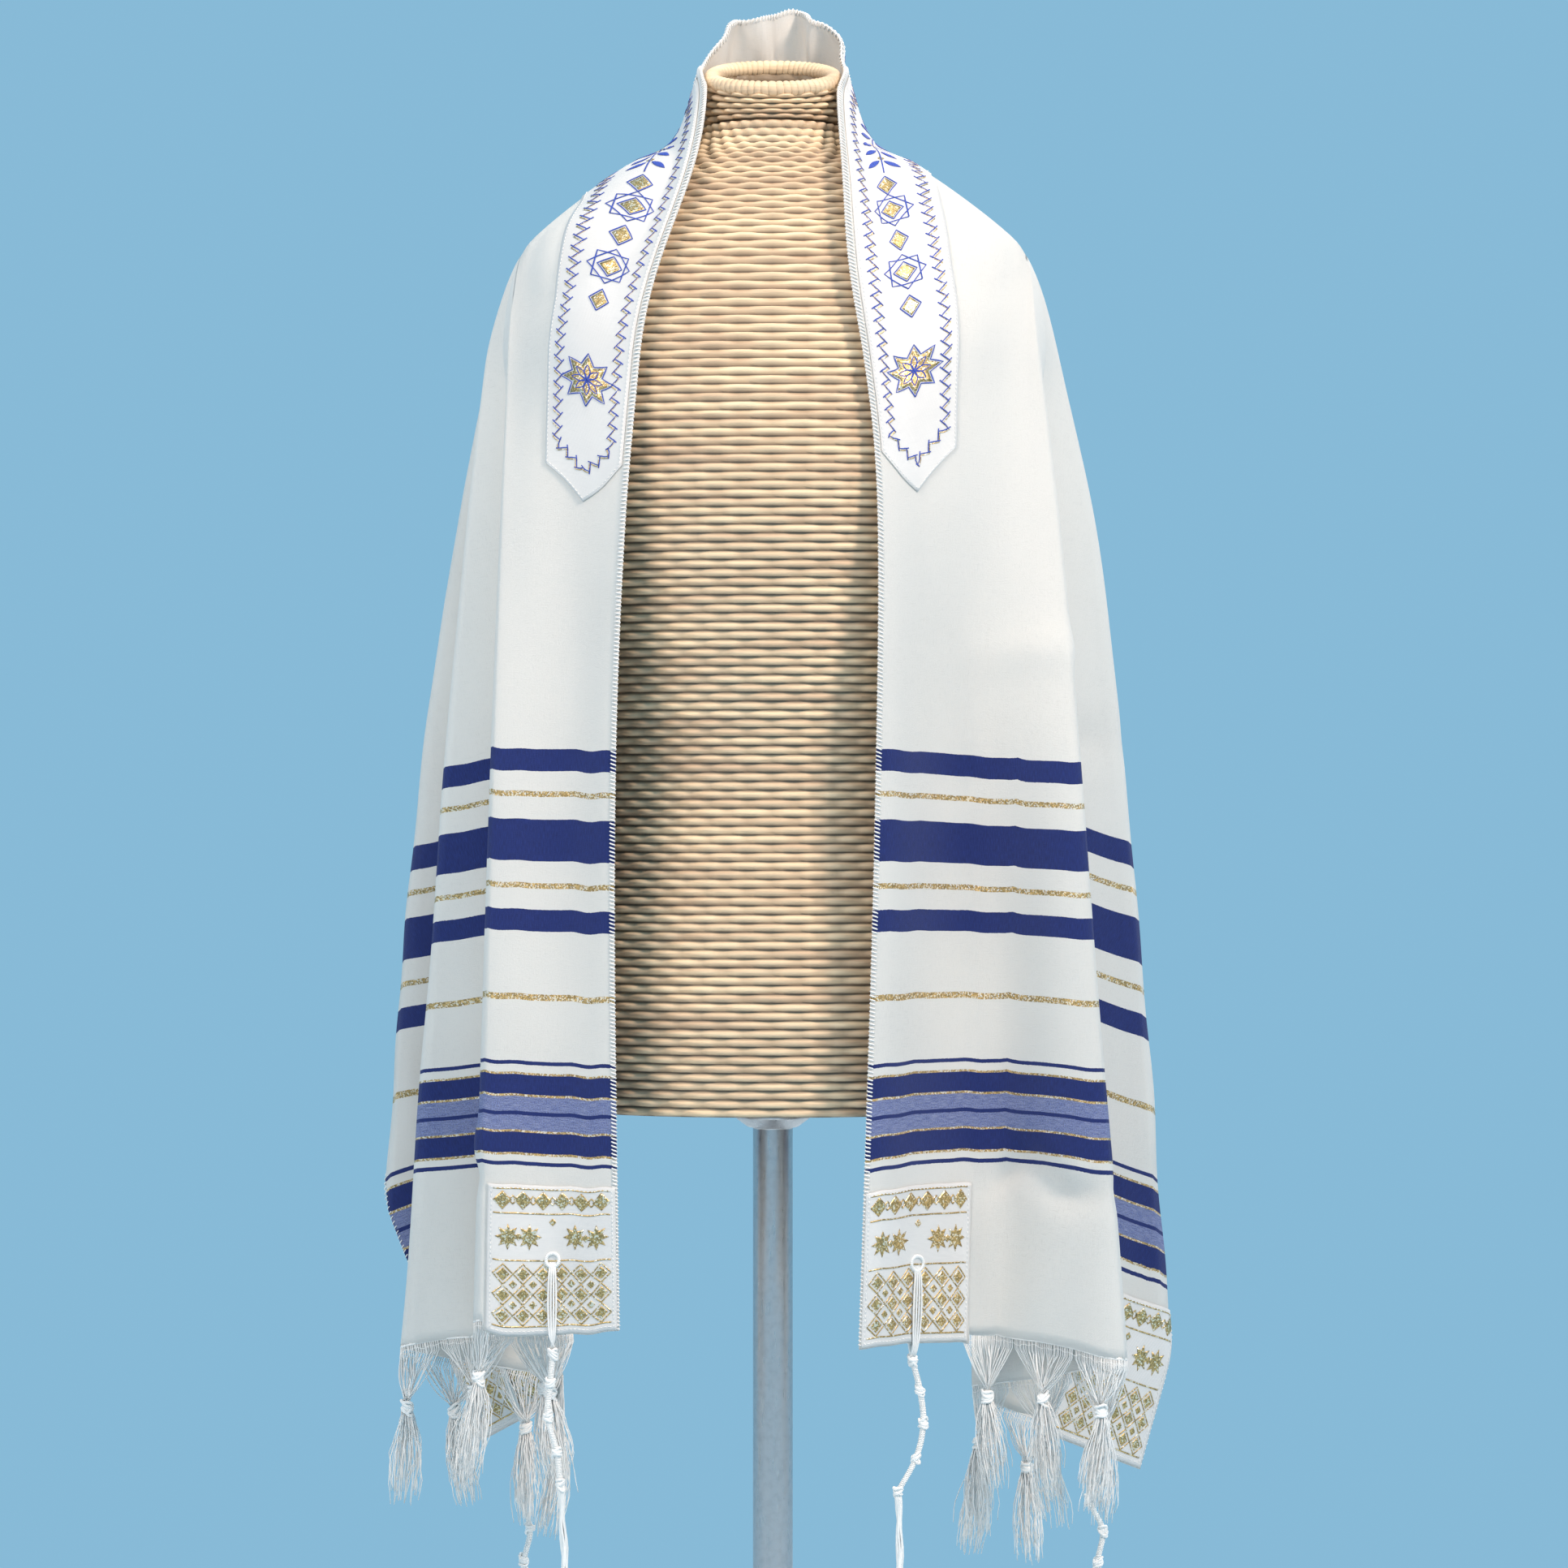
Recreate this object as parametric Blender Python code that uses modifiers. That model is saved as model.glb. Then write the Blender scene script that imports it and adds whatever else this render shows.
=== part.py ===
"""A tallit (prayer shawl) draped over a limbless wicker dress form on a round stand.

Metres, +Z up. The front faces -Y, and the origin lies on the floor under the form's axis.
A flat place on the cloth is (along, across): along runs from the centre back (0) to a hem
(HALF_LENGTH, negative on the left half), across from the neck edge (0) to the outer edge.
A drop is a depth below the top of the standing neck edge.
"""

import itertools
import math
from collections import namedtuple

import bmesh
import bpy
import numpy as np
from mathutils import Matrix, Vector
from mathutils.bvhtree import BVHTree
from mathutils.geometry import barycentric_transform

# ---- driving sizes of the shawl
TOP_HEIGHT = 1.450
SHAWL_WIDTH = 0.460
HALF_LENGTH = 0.915
CLOTH_WALL = 0.0015
PATCH_WALL = 0.0008
SEAM_GAP = 0.0003
FORM_CLEARANCE = 0.0043
COLLAR_FREE_DROP = 0.030

BAND_EDGE = 0.004
BAND_WIDTH = 0.051
BAND_LENGTH = 0.388
BAND_POINT = 0.022

PATCH_ACROSS = 0.084
PATCH_ALONG = 0.094
EYELET_FROM_EDGE = 0.042
EYELET_FROM_HEM = 0.047
EYELET_RADIUS = 0.0035

# ---- how the cloth lies on the shoulders
NECK_ALONG = 0.085
NECK_DEPTH = 0.055
SHOULDER_DEPTH = 0.005
Ridge = namedtuple("Ridge", "share out drop")
RIDGE = (
    Ridge(0.00, 0.0450, 0.040),
    Ridge(0.30, 0.0640, 0.090),
    Ridge(0.47, 0.0900, 0.104),
    Ridge(0.86, 0.1500, 0.151),
    Ridge(1.00, 0.1580, 0.163),
)

# ---- how the cloth hangs: its plan at four drops, as a belt round rollers.
# out is the distance from the middle and back the distance behind the form's axis,
# both of a roller's centre. A belt turns round its rollers by turns inwards and outwards.
DROPS = (0.235, 0.335, 0.495, 0.870)
Fold = namedtuple("Fold", "angle spread sense radius slack out back bow")
RIGHT_FRONT_EDGE = ((0.0605, 0.064, 0.0625, 0.051), (-0.105, -0.118, -0.121, -0.124))
RIGHT_FOLDS = (
    Fold(7.4, 0.9, 1, (4, 5, 6, 7), 0, (161.5, 171.5, 182.5, 209), (-45, -62, -92, -105), (-6, 8, 38, 50)),
    Fold(16.0, 0.9, -1, (4, 5, 6, 8), 8, (173, 160, 146, 124), (-22, -34, -44, -36), (0, 0, 0, 0)),
    Fold(30.2, 2.5, 1, (10, 10, 10, 9), 13, (171, 193, 212, 244), (2, 5, 8, 16), (0, 0, -3, -8)),
    Fold(53.0, 2.5, -1, (4, 6, 9, 9), 15, (168, 156, 118, 100), (34, 42, 64, 80), (0, 0, 0, 0)),
    Fold(71.0, 2.5, 1, (10, 10, 10, 9), 10, (146, 168, 194, 215), (56, 70, 86, 104), (0, 0, 0, 0)),
    Fold(80.0, 2.0, -1, (4, 5, 8, 8), 5, (140, 144, 144, 142), (79.8, 90, 110, 124), (0, 0, 0, 0)),
    Fold(87.0, 2.0, 1, (10, 10, 10, 9), 0, (118, 134, 158, 174), (82, 100, 127, 146), (0, 0, 0, 0)),
)
LEFT_FRONT_EDGE = ((0.081, 0.089, 0.095, 0.092), (-0.104, -0.118, -0.121, -0.124))
LEFT_FOLDS = (
    Fold(0.6, 0.6, 1, (4, 5, 6, 7), 0, (162, 162, 165, 174), (-40, -72, -102, -114), (-6, 2, 10, 8)),
    Fold(5.6, 0.9, -1, (4, 5, 6, 8), 0, (172, 158, 146, 126), (-26, -54, -78, -82), (0, 0, 0, 0)),
    Fold(13.9, 0.9, 1, (4, 5, 6, 7), 2, (176, 185, 197.5, 223.5), (-12, -32, -46, -60), (0, 0, 0, -6)),
    Fold(21.5, 1.1, -1, (4, 5, 6, 9), 14, (181, 176, 166, 131), (2, -12, -22, -22), (0, 0, 0, 0)),
    Fold(36.0, 2.5, 1, (10, 10, 10, 9), 36, (170, 189, 213, 244), (16, 14, 18, 24), (0, 0, 4, 12)),
    Fold(54.0, 2.5, -1, (4, 6, 9, 9), 20, (167, 156, 118, 100), (45.2, 50, 68, 84), (0, 0, 0, 0)),
    Fold(71.5, 2.5, 1, (10, 10, 10, 9), 10, (142, 168, 196, 215), (60, 74, 90, 108), (0, 0, 0, 0)),
    Fold(80.5, 2.0, -1, (4, 5, 8, 8), 5, (136.5, 142, 146, 144), (82, 93, 114, 128), (0, 0, 0, 0)),
    Fold(87.0, 2.0, 1, (10, 10, 10, 9), 0, (114, 132, 160, 176), (84, 104, 131, 150), (0, 0, 0, 0)),
)
BACK_MIDDLE = (0.112, 0.118, 0.121, 0.124)
BACK_BOW = (-4, -2, 10, 14)

Side = namedtuple("Side", "name sign tip_across tip_along front_edge folds")
SIDES = (
    Side("right", 1, 0.105, 0.226, RIGHT_FRONT_EDGE, RIGHT_FOLDS),
    Side("left", -1, 0.086, 0.232, LEFT_FRONT_EDGE, LEFT_FOLDS),
)

# ---- the lattice that the cloth's pieces are cut from
FOLD_STEPS = 4
RIDGE_SHARES = (0, 0.25, 0.5, 0.75, 1)
BACK_COLUMNS = 7
PLAIN_ROWS = 3
ROW_SHARES = (0, 0.045, 0.095, 0.15, 0.21, 0.28, 0.36, 0.45, 0.55, 0.65, 0.76, 0.88, 1)
HEM_ROWS = 2
PATH_STEPS = 14
FALL_STEPS = 40
FALL_END = 1.04

# ---- driving sizes of the form and its stand
Section = namedtuple("Section", "drop half_width front back")
FORM_SECTIONS = (
    Section(0.700, 0.131, 0.096, 0.094),
    Section(0.650, 0.135, 0.100, 0.099),
    Section(0.590, 0.129, 0.097, 0.094),
    Section(0.500, 0.117, 0.091, 0.084),
    Section(0.400, 0.131, 0.105, 0.096),
    Section(0.320, 0.146, 0.112, 0.103),
    Section(0.260, 0.155, 0.106, 0.103),
    Section(0.215, 0.158, 0.095, 0.098),
    Section(0.188, 0.157, 0.086, 0.091),
    Section(0.172, 0.152, 0.080, 0.086),
    Section(0.156, 0.142, 0.073, 0.079),
    Section(0.138, 0.119, 0.065, 0.071),
    Section(0.122, 0.098, 0.058, 0.063),
    Section(0.108, 0.072, 0.052, 0.055),
    Section(0.100, 0.056, 0.049, 0.051),
    Section(0.092, 0.047, 0.046, 0.047),
    Section(0.084, 0.0425, 0.0445, 0.045),
)
FORM_SQUARENESS = 2.2
FORM_SIDES = 28
NECK_HALF_WIDTH = 0.0415
NECK_HALF_DEPTH = 0.0440
NECK_WALL = 0.006
NECK_FOOT_DROP = 0.0837
RIM_DROP = 0.046
RIM_TILT = math.radians(17)
RIM_RADIUS = 0.0048
RIM_SIDES = 6
POLE_RADIUS = 0.0125
BASE_RADIUS = 0.165
BASE_EDGE = 0.010
BASE_CROWN = 0.022

# ---- fringe and corner cords
FRINGE_COUNT = 8
FRINGE_FIRST = 0.0985
FRINGE_STEP = 0.0375
FRINGE_DROP = 0.029
FRINGE_KNOT = (0.0052, 0.0052, 0.0075)
FRINGE_FAN = 0.030
FRINGE_FOOT = 0.0014
FRINGE_TAIL = 0.052
LOCK_RADIUS = 0.0013
CORD_RADIUS = 0.0017
STRINGS = 8
CORD_KNOTS = (0.0, 0.019, 0.042, 0.067, 0.088)
CORD_KNOT_RADIUS = 0.0048
CORD_TAIL = 0.185

COLOURS = {
    "cloth": (0.83, 0.82, 0.80, 0.86, 0.0),
    "satin": (0.80, 0.81, 0.84, 0.45, 0.0),
    "wool": (0.84, 0.83, 0.79, 0.90, 0.0),
    "rattan": (0.72, 0.52, 0.31, 0.55, 0.0),
    "steel": (0.60, 0.60, 0.61, 0.35, 1.0),
    "iron": (0.16, 0.15, 0.15, 0.50, 0.6),
}


def smooth_value(at, knots, values):
    """A cubic through (knots, values), straight beyond both ends. values may be rows of vectors."""
    knots = np.asarray(knots, float)
    values = np.asarray(values, float)
    steps = np.diff(values, axis=0) / np.diff(knots).reshape((-1,) + (1,) * (values.ndim - 1))
    slopes = np.concatenate([steps[:1], (steps[1:] + steps[:-1]) / 2, steps[-1:]])
    i = int(np.clip(np.searchsorted(knots, at) - 1, 0, len(knots) - 2))
    width = knots[i + 1] - knots[i]
    t = (at - knots[i]) / width
    if t < 0:
        return values[0] + slopes[0] * (at - knots[0])
    if t > 1:
        return values[-1] + slopes[-1] * (at - knots[-1])
    keep = 2 * t**3 - 3 * t**2 + 1
    lead = (t**3 - 2 * t**2 + t) * width
    trail = (t**3 - t**2) * width
    return keep * values[i] + lead * slopes[i] + (1 - keep) * values[i + 1] + trail * slopes[i + 1]


# ---------------------------------------------------------------- the form


def form_section(drop):
    """(half width, front depth, back depth) of the torso at a drop."""
    rows = FORM_SECTIONS[::-1]
    drop = min(max(drop, rows[0].drop), rows[-1].drop)
    return smooth_value(drop, [r.drop for r in rows], [r[1:] for r in rows])


def form_height(point):
    """How far out of the torso a point lies, in metres, negative inside it."""

    def reach(p):
        width, front, back = form_section(TOP_HEIGHT - p[2])
        depth = front if p[1] < 0 else back
        power = FORM_SQUARENESS
        return (abs(p[0] / width) ** power + abs(p[1] / depth) ** power) ** (1 / power) - 1

    here = reach(point)
    step = 1e-4
    slope = np.array([reach(point + step * axis) - here for axis in np.eye(3)]) / step
    steepness = float(np.linalg.norm(slope)) + 1e-9
    return here / steepness, slope / steepness


def clear_of_form(point, clearance):
    """The point, moved out of the torso until it lies at least the clearance from it."""
    for _ in range(8):
        if TOP_HEIGHT - point[2] < COLLAR_FREE_DROP:
            return point
        height, outwards = form_height(point)
        if height >= clearance:
            return point
        point = point + outwards * (clearance - height)
    return point


# ---------------------------------------------------------------- the drape


class Drape:
    """Half of the shawl as it hangs. A key names one thread line that runs down the cloth:
    below 0 a line of the front, its distance from the shoulder tip's line across,
    from 0 to 1 a ray from the shoulder tip, as a share of the quarter turn to the back,
    above 1 a line of the back, 1 plus its distance from the shoulder tip's line along."""

    def __init__(self, side):
        self.side = side
        self.first_key = -side.tip_across
        self.last_key = 1 + side.tip_along
        self.fold_keys = [fold.angle / 90 for fold in side.folds]
        self.spreads = [fold.spread / 90 for fold in side.folds]
        self.corner_angle = math.atan2(SHAWL_WIDTH - side.tip_across, HALF_LENGTH - side.tip_along)

    def run(self, key, reach):
        """The cloth's length along a level, up to a key, where the rays are reach long."""
        front = min(key, 0)
        fan = reach * math.pi / 2 * min(max(key, 0), 1)
        return front + fan + max(key - 1, 0)

    def rollers(self, drop):
        """The belt's rollers at a drop: centres, radii, senses and the bow before each."""
        side = self.side
        edge = [smooth_value(drop, DROPS, side.front_edge[i]) for i in (0, 1)]
        centres = [np.array(edge)]
        radii, senses, bows = [0.0], [1], [0.0]
        for fold in side.folds:
            out, back, radius, bow = (
                0.001 * smooth_value(drop, DROPS, row) for row in (fold.out, fold.back, fold.radius, fold.bow)
            )
            centres.append(np.array([out, back]))
            radii.append(max(radius, 0.003))
            senses.append(fold.sense)
            bows.append(bow)
        centres.append(np.array([0.0, smooth_value(drop, DROPS, BACK_MIDDLE)]))
        radii.append(0.0)
        senses.append(1)
        bows.append(0.001 * smooth_value(drop, DROPS, BACK_BOW))
        return centres, radii, senses, bows

    def belt(self, keys, drop):
        """Plan positions (out, back) of the keys at a drop, even in length from fold to fold."""
        centres, radii, senses, bows = self.rollers(drop)
        headings = []
        for i in range(len(centres) - 1):
            across = centres[i + 1] - centres[i]
            offset = senses[i + 1] * radii[i + 1] - senses[i] * radii[i]
            tilt = math.asin(max(-0.999, min(0.999, offset / float(np.linalg.norm(across)))))
            headings.append(math.atan2(across[1], across[0]) - tilt)
        half_turns = [0.0]
        for before, after, sense in zip(headings, headings[1:], senses[1:]):
            turn = (after - before) * sense % (2 * math.pi)
            half_turns.append(0.0 if turn > 1.5 * math.pi else turn / 2)
        half_turns.append(0.0)

        def rim(i, heading):
            return centres[i] - senses[i] * radii[i] * np.array([-math.sin(heading), math.cos(heading)])

        reach = max(drop - RIDGE[-1].drop, 0.03)
        anchors = [self.first_key, *self.fold_keys, self.last_key]
        runs = [self.run(key, reach) for key in anchors]
        found = []
        for key in keys:
            span = int(np.clip(np.searchsorted(anchors, key) - 1, 0, len(anchors) - 2))
            share = (self.run(key, reach) - runs[span]) / (runs[span + 1] - runs[span])
            heading = headings[span]
            leave = rim(span, heading)
            enter = rim(span + 1, heading)
            first_arc = half_turns[span] * radii[span]
            last_arc = half_turns[span + 1] * radii[span + 1]
            straight = float(np.linalg.norm(enter - leave))
            at = share * (first_arc + straight + last_arc) - first_arc
            if at < 0 and first_arc > 0:
                found.append(rim(span, heading + senses[span] * at / radii[span]))
            elif at > straight and last_arc > 0:
                found.append(rim(span + 1, heading + senses[span + 1] * (at - straight) / radii[span + 1]))
            else:
                at = min(max(at, 0), straight)
                swell = bows[span + 1] * math.sin(math.pi * at / straight) ** 2
                out = np.array([-math.sin(heading), math.cos(heading)])
                found.append(leave + (enter - leave) * at / straight + swell * out)
        return np.array(found)

    def ridge_share(self, key):
        """Where a thread line leaves the ridge from the neck to the shoulder tip, 0 to 1."""
        if key <= 0:
            return 1 + key / self.side.tip_across
        return 1 - min(max(key - 1, 0) / (self.side.tip_along - NECK_ALONG), 1)

    def start(self, key):
        """Where a thread line starts, in space, and the direction it starts in."""
        share = self.ridge_share(key)
        out, drop = smooth_value(share, [r.share for r in RIDGE], [r[1:] for r in RIDGE])
        from_neck = key - 1 - (self.side.tip_along - NECK_ALONG)
        front = np.array([-0.35 + 0.45 * share, -0.90, -0.45 + 0.30 * share])
        back = np.array([0.10, 0.50 + 0.40 * share, -0.85 + 0.70 * share])
        if from_neck > 0:
            turn = 0.5 * math.pi * (1 - from_neck / NECK_ALONG)
            round_neck = math.sin(turn)
            place = np.array([RIDGE[0].out * round_neck, SHOULDER_DEPTH + NECK_DEPTH * math.cos(turn)])
            height = TOP_HEIGHT - RIDGE[0].drop * round_neck**2
            middle = np.array([0.0, 0.10, -1.0])
            return np.array([*place, height]), middle + (back - middle) * round_neck**3
        place = np.array([out, SHOULDER_DEPTH, TOP_HEIGHT - drop])
        if key <= 0:
            return place, front
        if key >= 1:
            return place, back
        side = np.array([0.50, 0.0, -0.85])
        turn = math.pi * key
        blend = math.cos(turn)
        ends = front if blend > 0 else back
        return place, side + (ends - side) * abs(blend)

    def paths(self, keys):
        """Each key's thread line as a fine path in space, from the ridge or neck down."""
        drops = np.concatenate([[DROPS[0]], np.linspace(DROPS[0], FALL_END, FALL_STEPS + 1)[1:]])
        belts = np.array([self.belt(keys, drop) for drop in drops])
        near = self.belt(keys, DROPS[0] + 0.01)
        lines = []
        for i, key in enumerate(keys):
            begin, direction = self.start(key)
            end = np.array([*belts[0, i], TOP_HEIGHT - DROPS[0]])
            fall = np.array([*(near[i] - belts[0, i]), -0.01])
            length = float(np.linalg.norm(end - begin))
            direction = direction / np.linalg.norm(direction) * length
            fall = fall / np.linalg.norm(fall) * length
            upper = []
            for t in np.linspace(0, 1, PATH_STEPS + 1):
                keep = 2 * t**3 - 3 * t**2 + 1
                lead = t**3 - 2 * t**2 + t
                upper.append(keep * begin + lead * direction + (1 - keep) * end + (t**3 - t**2) * fall)
            lower = [np.array([*belts[j, i], TOP_HEIGHT - drops[j]]) for j in range(1, len(drops))]
            line = [clear_of_form(p, FORM_CLEARANCE) for p in upper + lower]
            lines.append(np.array(line) * np.array([self.side.sign, 1, 1]))
        return lines

    def slack(self, key):
        """Cloth taken up by small gathers at the shoulder."""
        taken = [0.001 * fold.slack for fold in self.side.folds]
        return float(np.interp(key, [self.first_key, *self.fold_keys, self.last_key], [0, *taken, 0]))

    def rows(self, key):
        """Distances down a thread line at which the lattice has its rows."""
        side = self.side
        hem = HALF_LENGTH - side.tip_along
        patch_top = hem - PATCH_ALONG
        shares = [s * patch_top / hem for s in ROW_SHARES]
        shares += [(patch_top + PATCH_ALONG * i / HEM_ROWS) / hem for i in range(1, HEM_ROWS + 1)]
        if key <= 0:
            begins = NECK_ALONG + (side.tip_along - NECK_ALONG) * self.ridge_share(key)
            upper = [s * (HALF_LENGTH - PATCH_ALONG - begins) for s in ROW_SHARES]
            top = upper[-1]
            return upper + [top + PATCH_ALONG * i / HEM_ROWS for i in range(1, HEM_ROWS + 1)]
        angle = min(key, 1) * math.pi / 2
        if angle <= self.corner_angle:
            return [s * hem / math.cos(angle) for s in shares]
        width = SHAWL_WIDTH - side.tip_across * self.ridge_share(max(key, 1))
        return [s * width / math.sin(angle) for s in shares]

    def flat(self, key, distance):
        """The flat place (along, across) that a distance down a thread line reaches."""
        side = self.side
        share = self.ridge_share(key)
        across = side.tip_across * share
        along = NECK_ALONG + (side.tip_along - NECK_ALONG) * share
        if key <= 0:
            along += distance
        elif key < 1:
            across += distance * math.sin(key * math.pi / 2)
            along += distance * math.cos(key * math.pi / 2)
        else:
            across += distance
            along = side.tip_along - (key - 1)
        return side.sign * along, across

    def column_keys(self):
        """[(key, group)] of the lattice's columns: a fold's columns share its group near the tip."""
        side = self.side
        neck_key = 1 + side.tip_along - NECK_ALONG
        keys = [(self.first_key * (1 - share), None) for share in RIDGE_SHARES]
        last = 0.0
        for number, (centre, spread) in enumerate(zip(self.fold_keys, self.spreads)):
            if centre - spread - last > 0.012:
                for share in (1 / 3, 2 / 3):
                    keys.append((last + (centre - spread - last) * share, None))
            keys += [(centre + spread * (2 * i / FOLD_STEPS - 1), number) for i in range(FOLD_STEPS + 1)]
            last = centre + spread
        corner = self.corner_angle / (math.pi / 2)
        folded = [k for k, group in keys if group is not None]
        fixed = folded + [corner]
        keys = [(k, group) for k, group in keys if group is not None or min(abs(k - f) for f in fixed) > 0.01]
        keys.append((corner, None))
        keys += [(1 + (neck_key - 1) * (1 - share), None) for share in RIDGE_SHARES]
        keys += [(neck_key + (self.last_key - neck_key) * i / BACK_COLUMNS, None) for i in range(1, BACK_COLUMNS + 1)]
        return sorted(keys, key=lambda pair: pair[0])


def lattice_half(bm, layers, side, middle_line):
    """Adds one half's lattice to bm. middle_line holds the centre back's vertices, shared by both."""
    drape = Drape(side)
    columns = drape.column_keys()
    keys = [key for key, _ in columns]
    lines = drape.paths(keys)
    grid = []
    ridge = {}
    for i, (key, group) in enumerate(columns):
        lengths = np.concatenate([[0], np.cumsum(np.linalg.norm(np.diff(lines[i], axis=0), axis=1))])
        column = []
        for j, distance in enumerate(drape.rows(key)):
            first_of_group = i and group is not None and columns[i - 1][1] == group
            if j <= PLAIN_ROWS and first_of_group:
                column.append(grid[-1][j])
                continue
            here = drape.flat(key, distance)
            name = (round(here[0], 5), round(here[1], 5))
            if j == 0 and name in ridge:
                column.append(ridge[name])
                continue
            if abs(here[0]) < 1e-9 and j < len(middle_line):
                column.append(middle_line[j])
                continue
            taken = drape.slack(key) * min(distance / 0.25, 1)
            place = [np.interp(distance - taken, lengths, lines[i][:, axis]) for axis in range(3)]
            vertex = bm.verts.new(place)
            vertex[layers["flat"]] = Vector((*here, 0))
            column.append(vertex)
            if j == 0:
                ridge[name] = vertex
        grid.append(column)
    if not middle_line:
        middle_line.extend(grid[-1])
    for left, right in zip(grid, grid[1:]):
        for j in range(len(left) - 1):
            around = [left[j], left[j + 1], right[j + 1], right[j]]
            corners = [v for n, v in enumerate(around) if v not in around[:n]]
            if len(corners) < 3:
                continue
            bm.faces.new(corners if side.sign > 0 else corners[::-1])


def cloth_lattice():
    """The whole shawl's middle surface in its hung shape, each vertex with its flat place."""
    bm = bmesh.new()
    layers = {name: bm.verts.layers.float_vector.new(name) for name in ("flat", "hung", "lift")}
    middle_line = []
    for side in SIDES:
        lattice_half(bm, layers, side, middle_line)
    bmesh.ops.triangulate(bm, faces=bm.faces[:], quad_method="SHORT_EDGE")
    bm.normal_update()
    for vertex in bm.verts:
        vertex[layers["hung"]] = vertex.co
        vertex[layers["lift"]] = vertex.normal
    return bm


class HungCloth:
    """Finds the place in space of any flat place, on the lattice's own facets."""

    def __init__(self, lattice):
        flat = lattice.verts.layers.float_vector["flat"]
        lift = lattice.verts.layers.float_vector["lift"]
        lattice.verts.index_update()
        self.flats = [v[flat].copy() for v in lattice.verts]
        self.hungs = [v.co.copy() for v in lattice.verts]
        self.lifts = [v[lift].copy() for v in lattice.verts]
        self.faces = [[v.index for v in face.verts] for face in lattice.faces]
        self.tree = BVHTree.FromPolygons(self.flats, self.faces)

    def at(self, along, across, lift=0.0):
        """The point in space at a flat place, moved out of the cloth's middle by lift."""
        place, _, number, _ = self.tree.find_nearest(Vector((along, across, 0)))
        corners = self.faces[number]
        flats = [self.flats[i] for i in corners]
        raised = [self.hungs[i] + lift * self.lifts[i] for i in corners]
        return barycentric_transform(place, *flats, *raised)

    def outwards(self, along, across):
        return (self.at(along, across, 0.001) - self.at(along, across)).normalized()


# ---------------------------------------------------------------- objects and materials


def material(name):
    red, green, blue, roughness, metallic = COLOURS[name]
    made = bpy.data.materials.get(name) or bpy.data.materials.new(name)
    made.use_nodes = True
    shader = made.node_tree.nodes["Principled BSDF"]
    shader.inputs["Base Color"].default_value = (red, green, blue, 1)
    shader.inputs["Roughness"].default_value = roughness
    shader.inputs["Metallic"].default_value = metallic
    return made


def new_object(name, bm, collection, colour):
    mesh = bpy.data.meshes.new(name)
    bm.to_mesh(mesh)
    bm.free()
    made = bpy.data.objects.new(name, mesh)
    collection.objects.link(made)
    mesh.materials.append(material(colour))
    mesh.shade_smooth()
    mesh.set_sharp_from_angle(angle=math.radians(50))
    return made


def cutter(name, bm, collection):
    made = new_object(name, bm, collection, "steel")
    made.hide_render = True
    made.display_type = "WIRE"
    return made


def boolean(target, other, operation):
    made = target.modifiers.new(other.name, "BOOLEAN")
    made.operation = operation
    made.object = other
    made.solver = "EXACT"
    return made


# ---------------------------------------------------------------- the cut pieces of the shawl


def cut_piece(lattice, lines):
    """A copy of the lattice cut in the flat along lines, each (point, direction out of the piece)."""
    bm = lattice.copy()
    flat = bm.verts.layers.float_vector["flat"]
    for vertex in bm.verts:
        vertex.co = vertex[flat]
    for point, outside in lines:
        geometry = bm.verts[:] + bm.edges[:] + bm.faces[:]
        bmesh.ops.bisect_plane(
            bm, geom=geometry, dist=2e-5, plane_co=(*point, 0), plane_no=(*outside, 0), clear_outer=True
        )
    bmesh.ops.triangulate(bm, faces=bm.faces[:])
    return bm


def hang_piece(bm, lift):
    """Takes a flat piece to its hung shape, moved out of the cloth's middle by lift."""
    hung = bm.verts.layers.float_vector["hung"]
    out = bm.verts.layers.float_vector["lift"]
    for vertex in bm.verts:
        vertex.co = vertex[hung] + lift * vertex[out].normalized()


def solidify(made, wall, offset):
    shell = made.modifiers.new("wall", "SOLIDIFY")
    shell.thickness = wall
    shell.offset = offset
    return shell


def sewn_piece(name, lattice, lines, collection, colour):
    bm = cut_piece(lattice, lines)
    hang_piece(bm, CLOTH_WALL / 2 + SEAM_GAP)
    made = new_object(name, bm, collection, colour)
    solidify(made, PATCH_WALL, 1)
    return made


def shawl_body(lattice, collection):
    made = new_object("shawl_body", lattice.copy(), collection, "cloth")
    solidify(made, CLOTH_WALL, 0)
    return made


def neck_band(lattice, collection):
    far = BAND_EDGE + BAND_WIDTH
    middle = BAND_EDGE + BAND_WIDTH / 2
    lines = [((0, BAND_EDGE), (0, -1)), ((0, far), (0, 1))]
    for end in (1, -1):
        for way in (1, -1):
            lines.append(((end * BAND_LENGTH, middle), (end * BAND_WIDTH / 2, way * BAND_POINT)))
    return sewn_piece("neck_band", lattice, lines, collection, "satin")


def corners():
    """(name, sign of the half, True for the outer edge) of each corner."""
    for edge_name, outer in (("front", False), ("back", True)):
        for side in SIDES:
            yield f"{edge_name}_{side.name}", side.sign, outer


def corner_patch(name, sign, outer, lattice, collection):
    inset = 0.0012
    along = sign * (HALF_LENGTH - PATCH_ALONG)
    hem = sign * (HALF_LENGTH - inset)
    lines = [((along, 0), (-sign, 0)), ((hem, 0), (sign, 0))]
    if outer:
        lines += [((0, SHAWL_WIDTH - PATCH_ACROSS), (0, -1)), ((0, SHAWL_WIDTH - inset), (0, 1))]
    else:
        lines += [((0, PATCH_ACROSS), (0, 1)), ((0, inset), (0, -1))]
    return sewn_piece(f"corner_patch_{name}", lattice, lines, collection, "satin")


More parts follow.
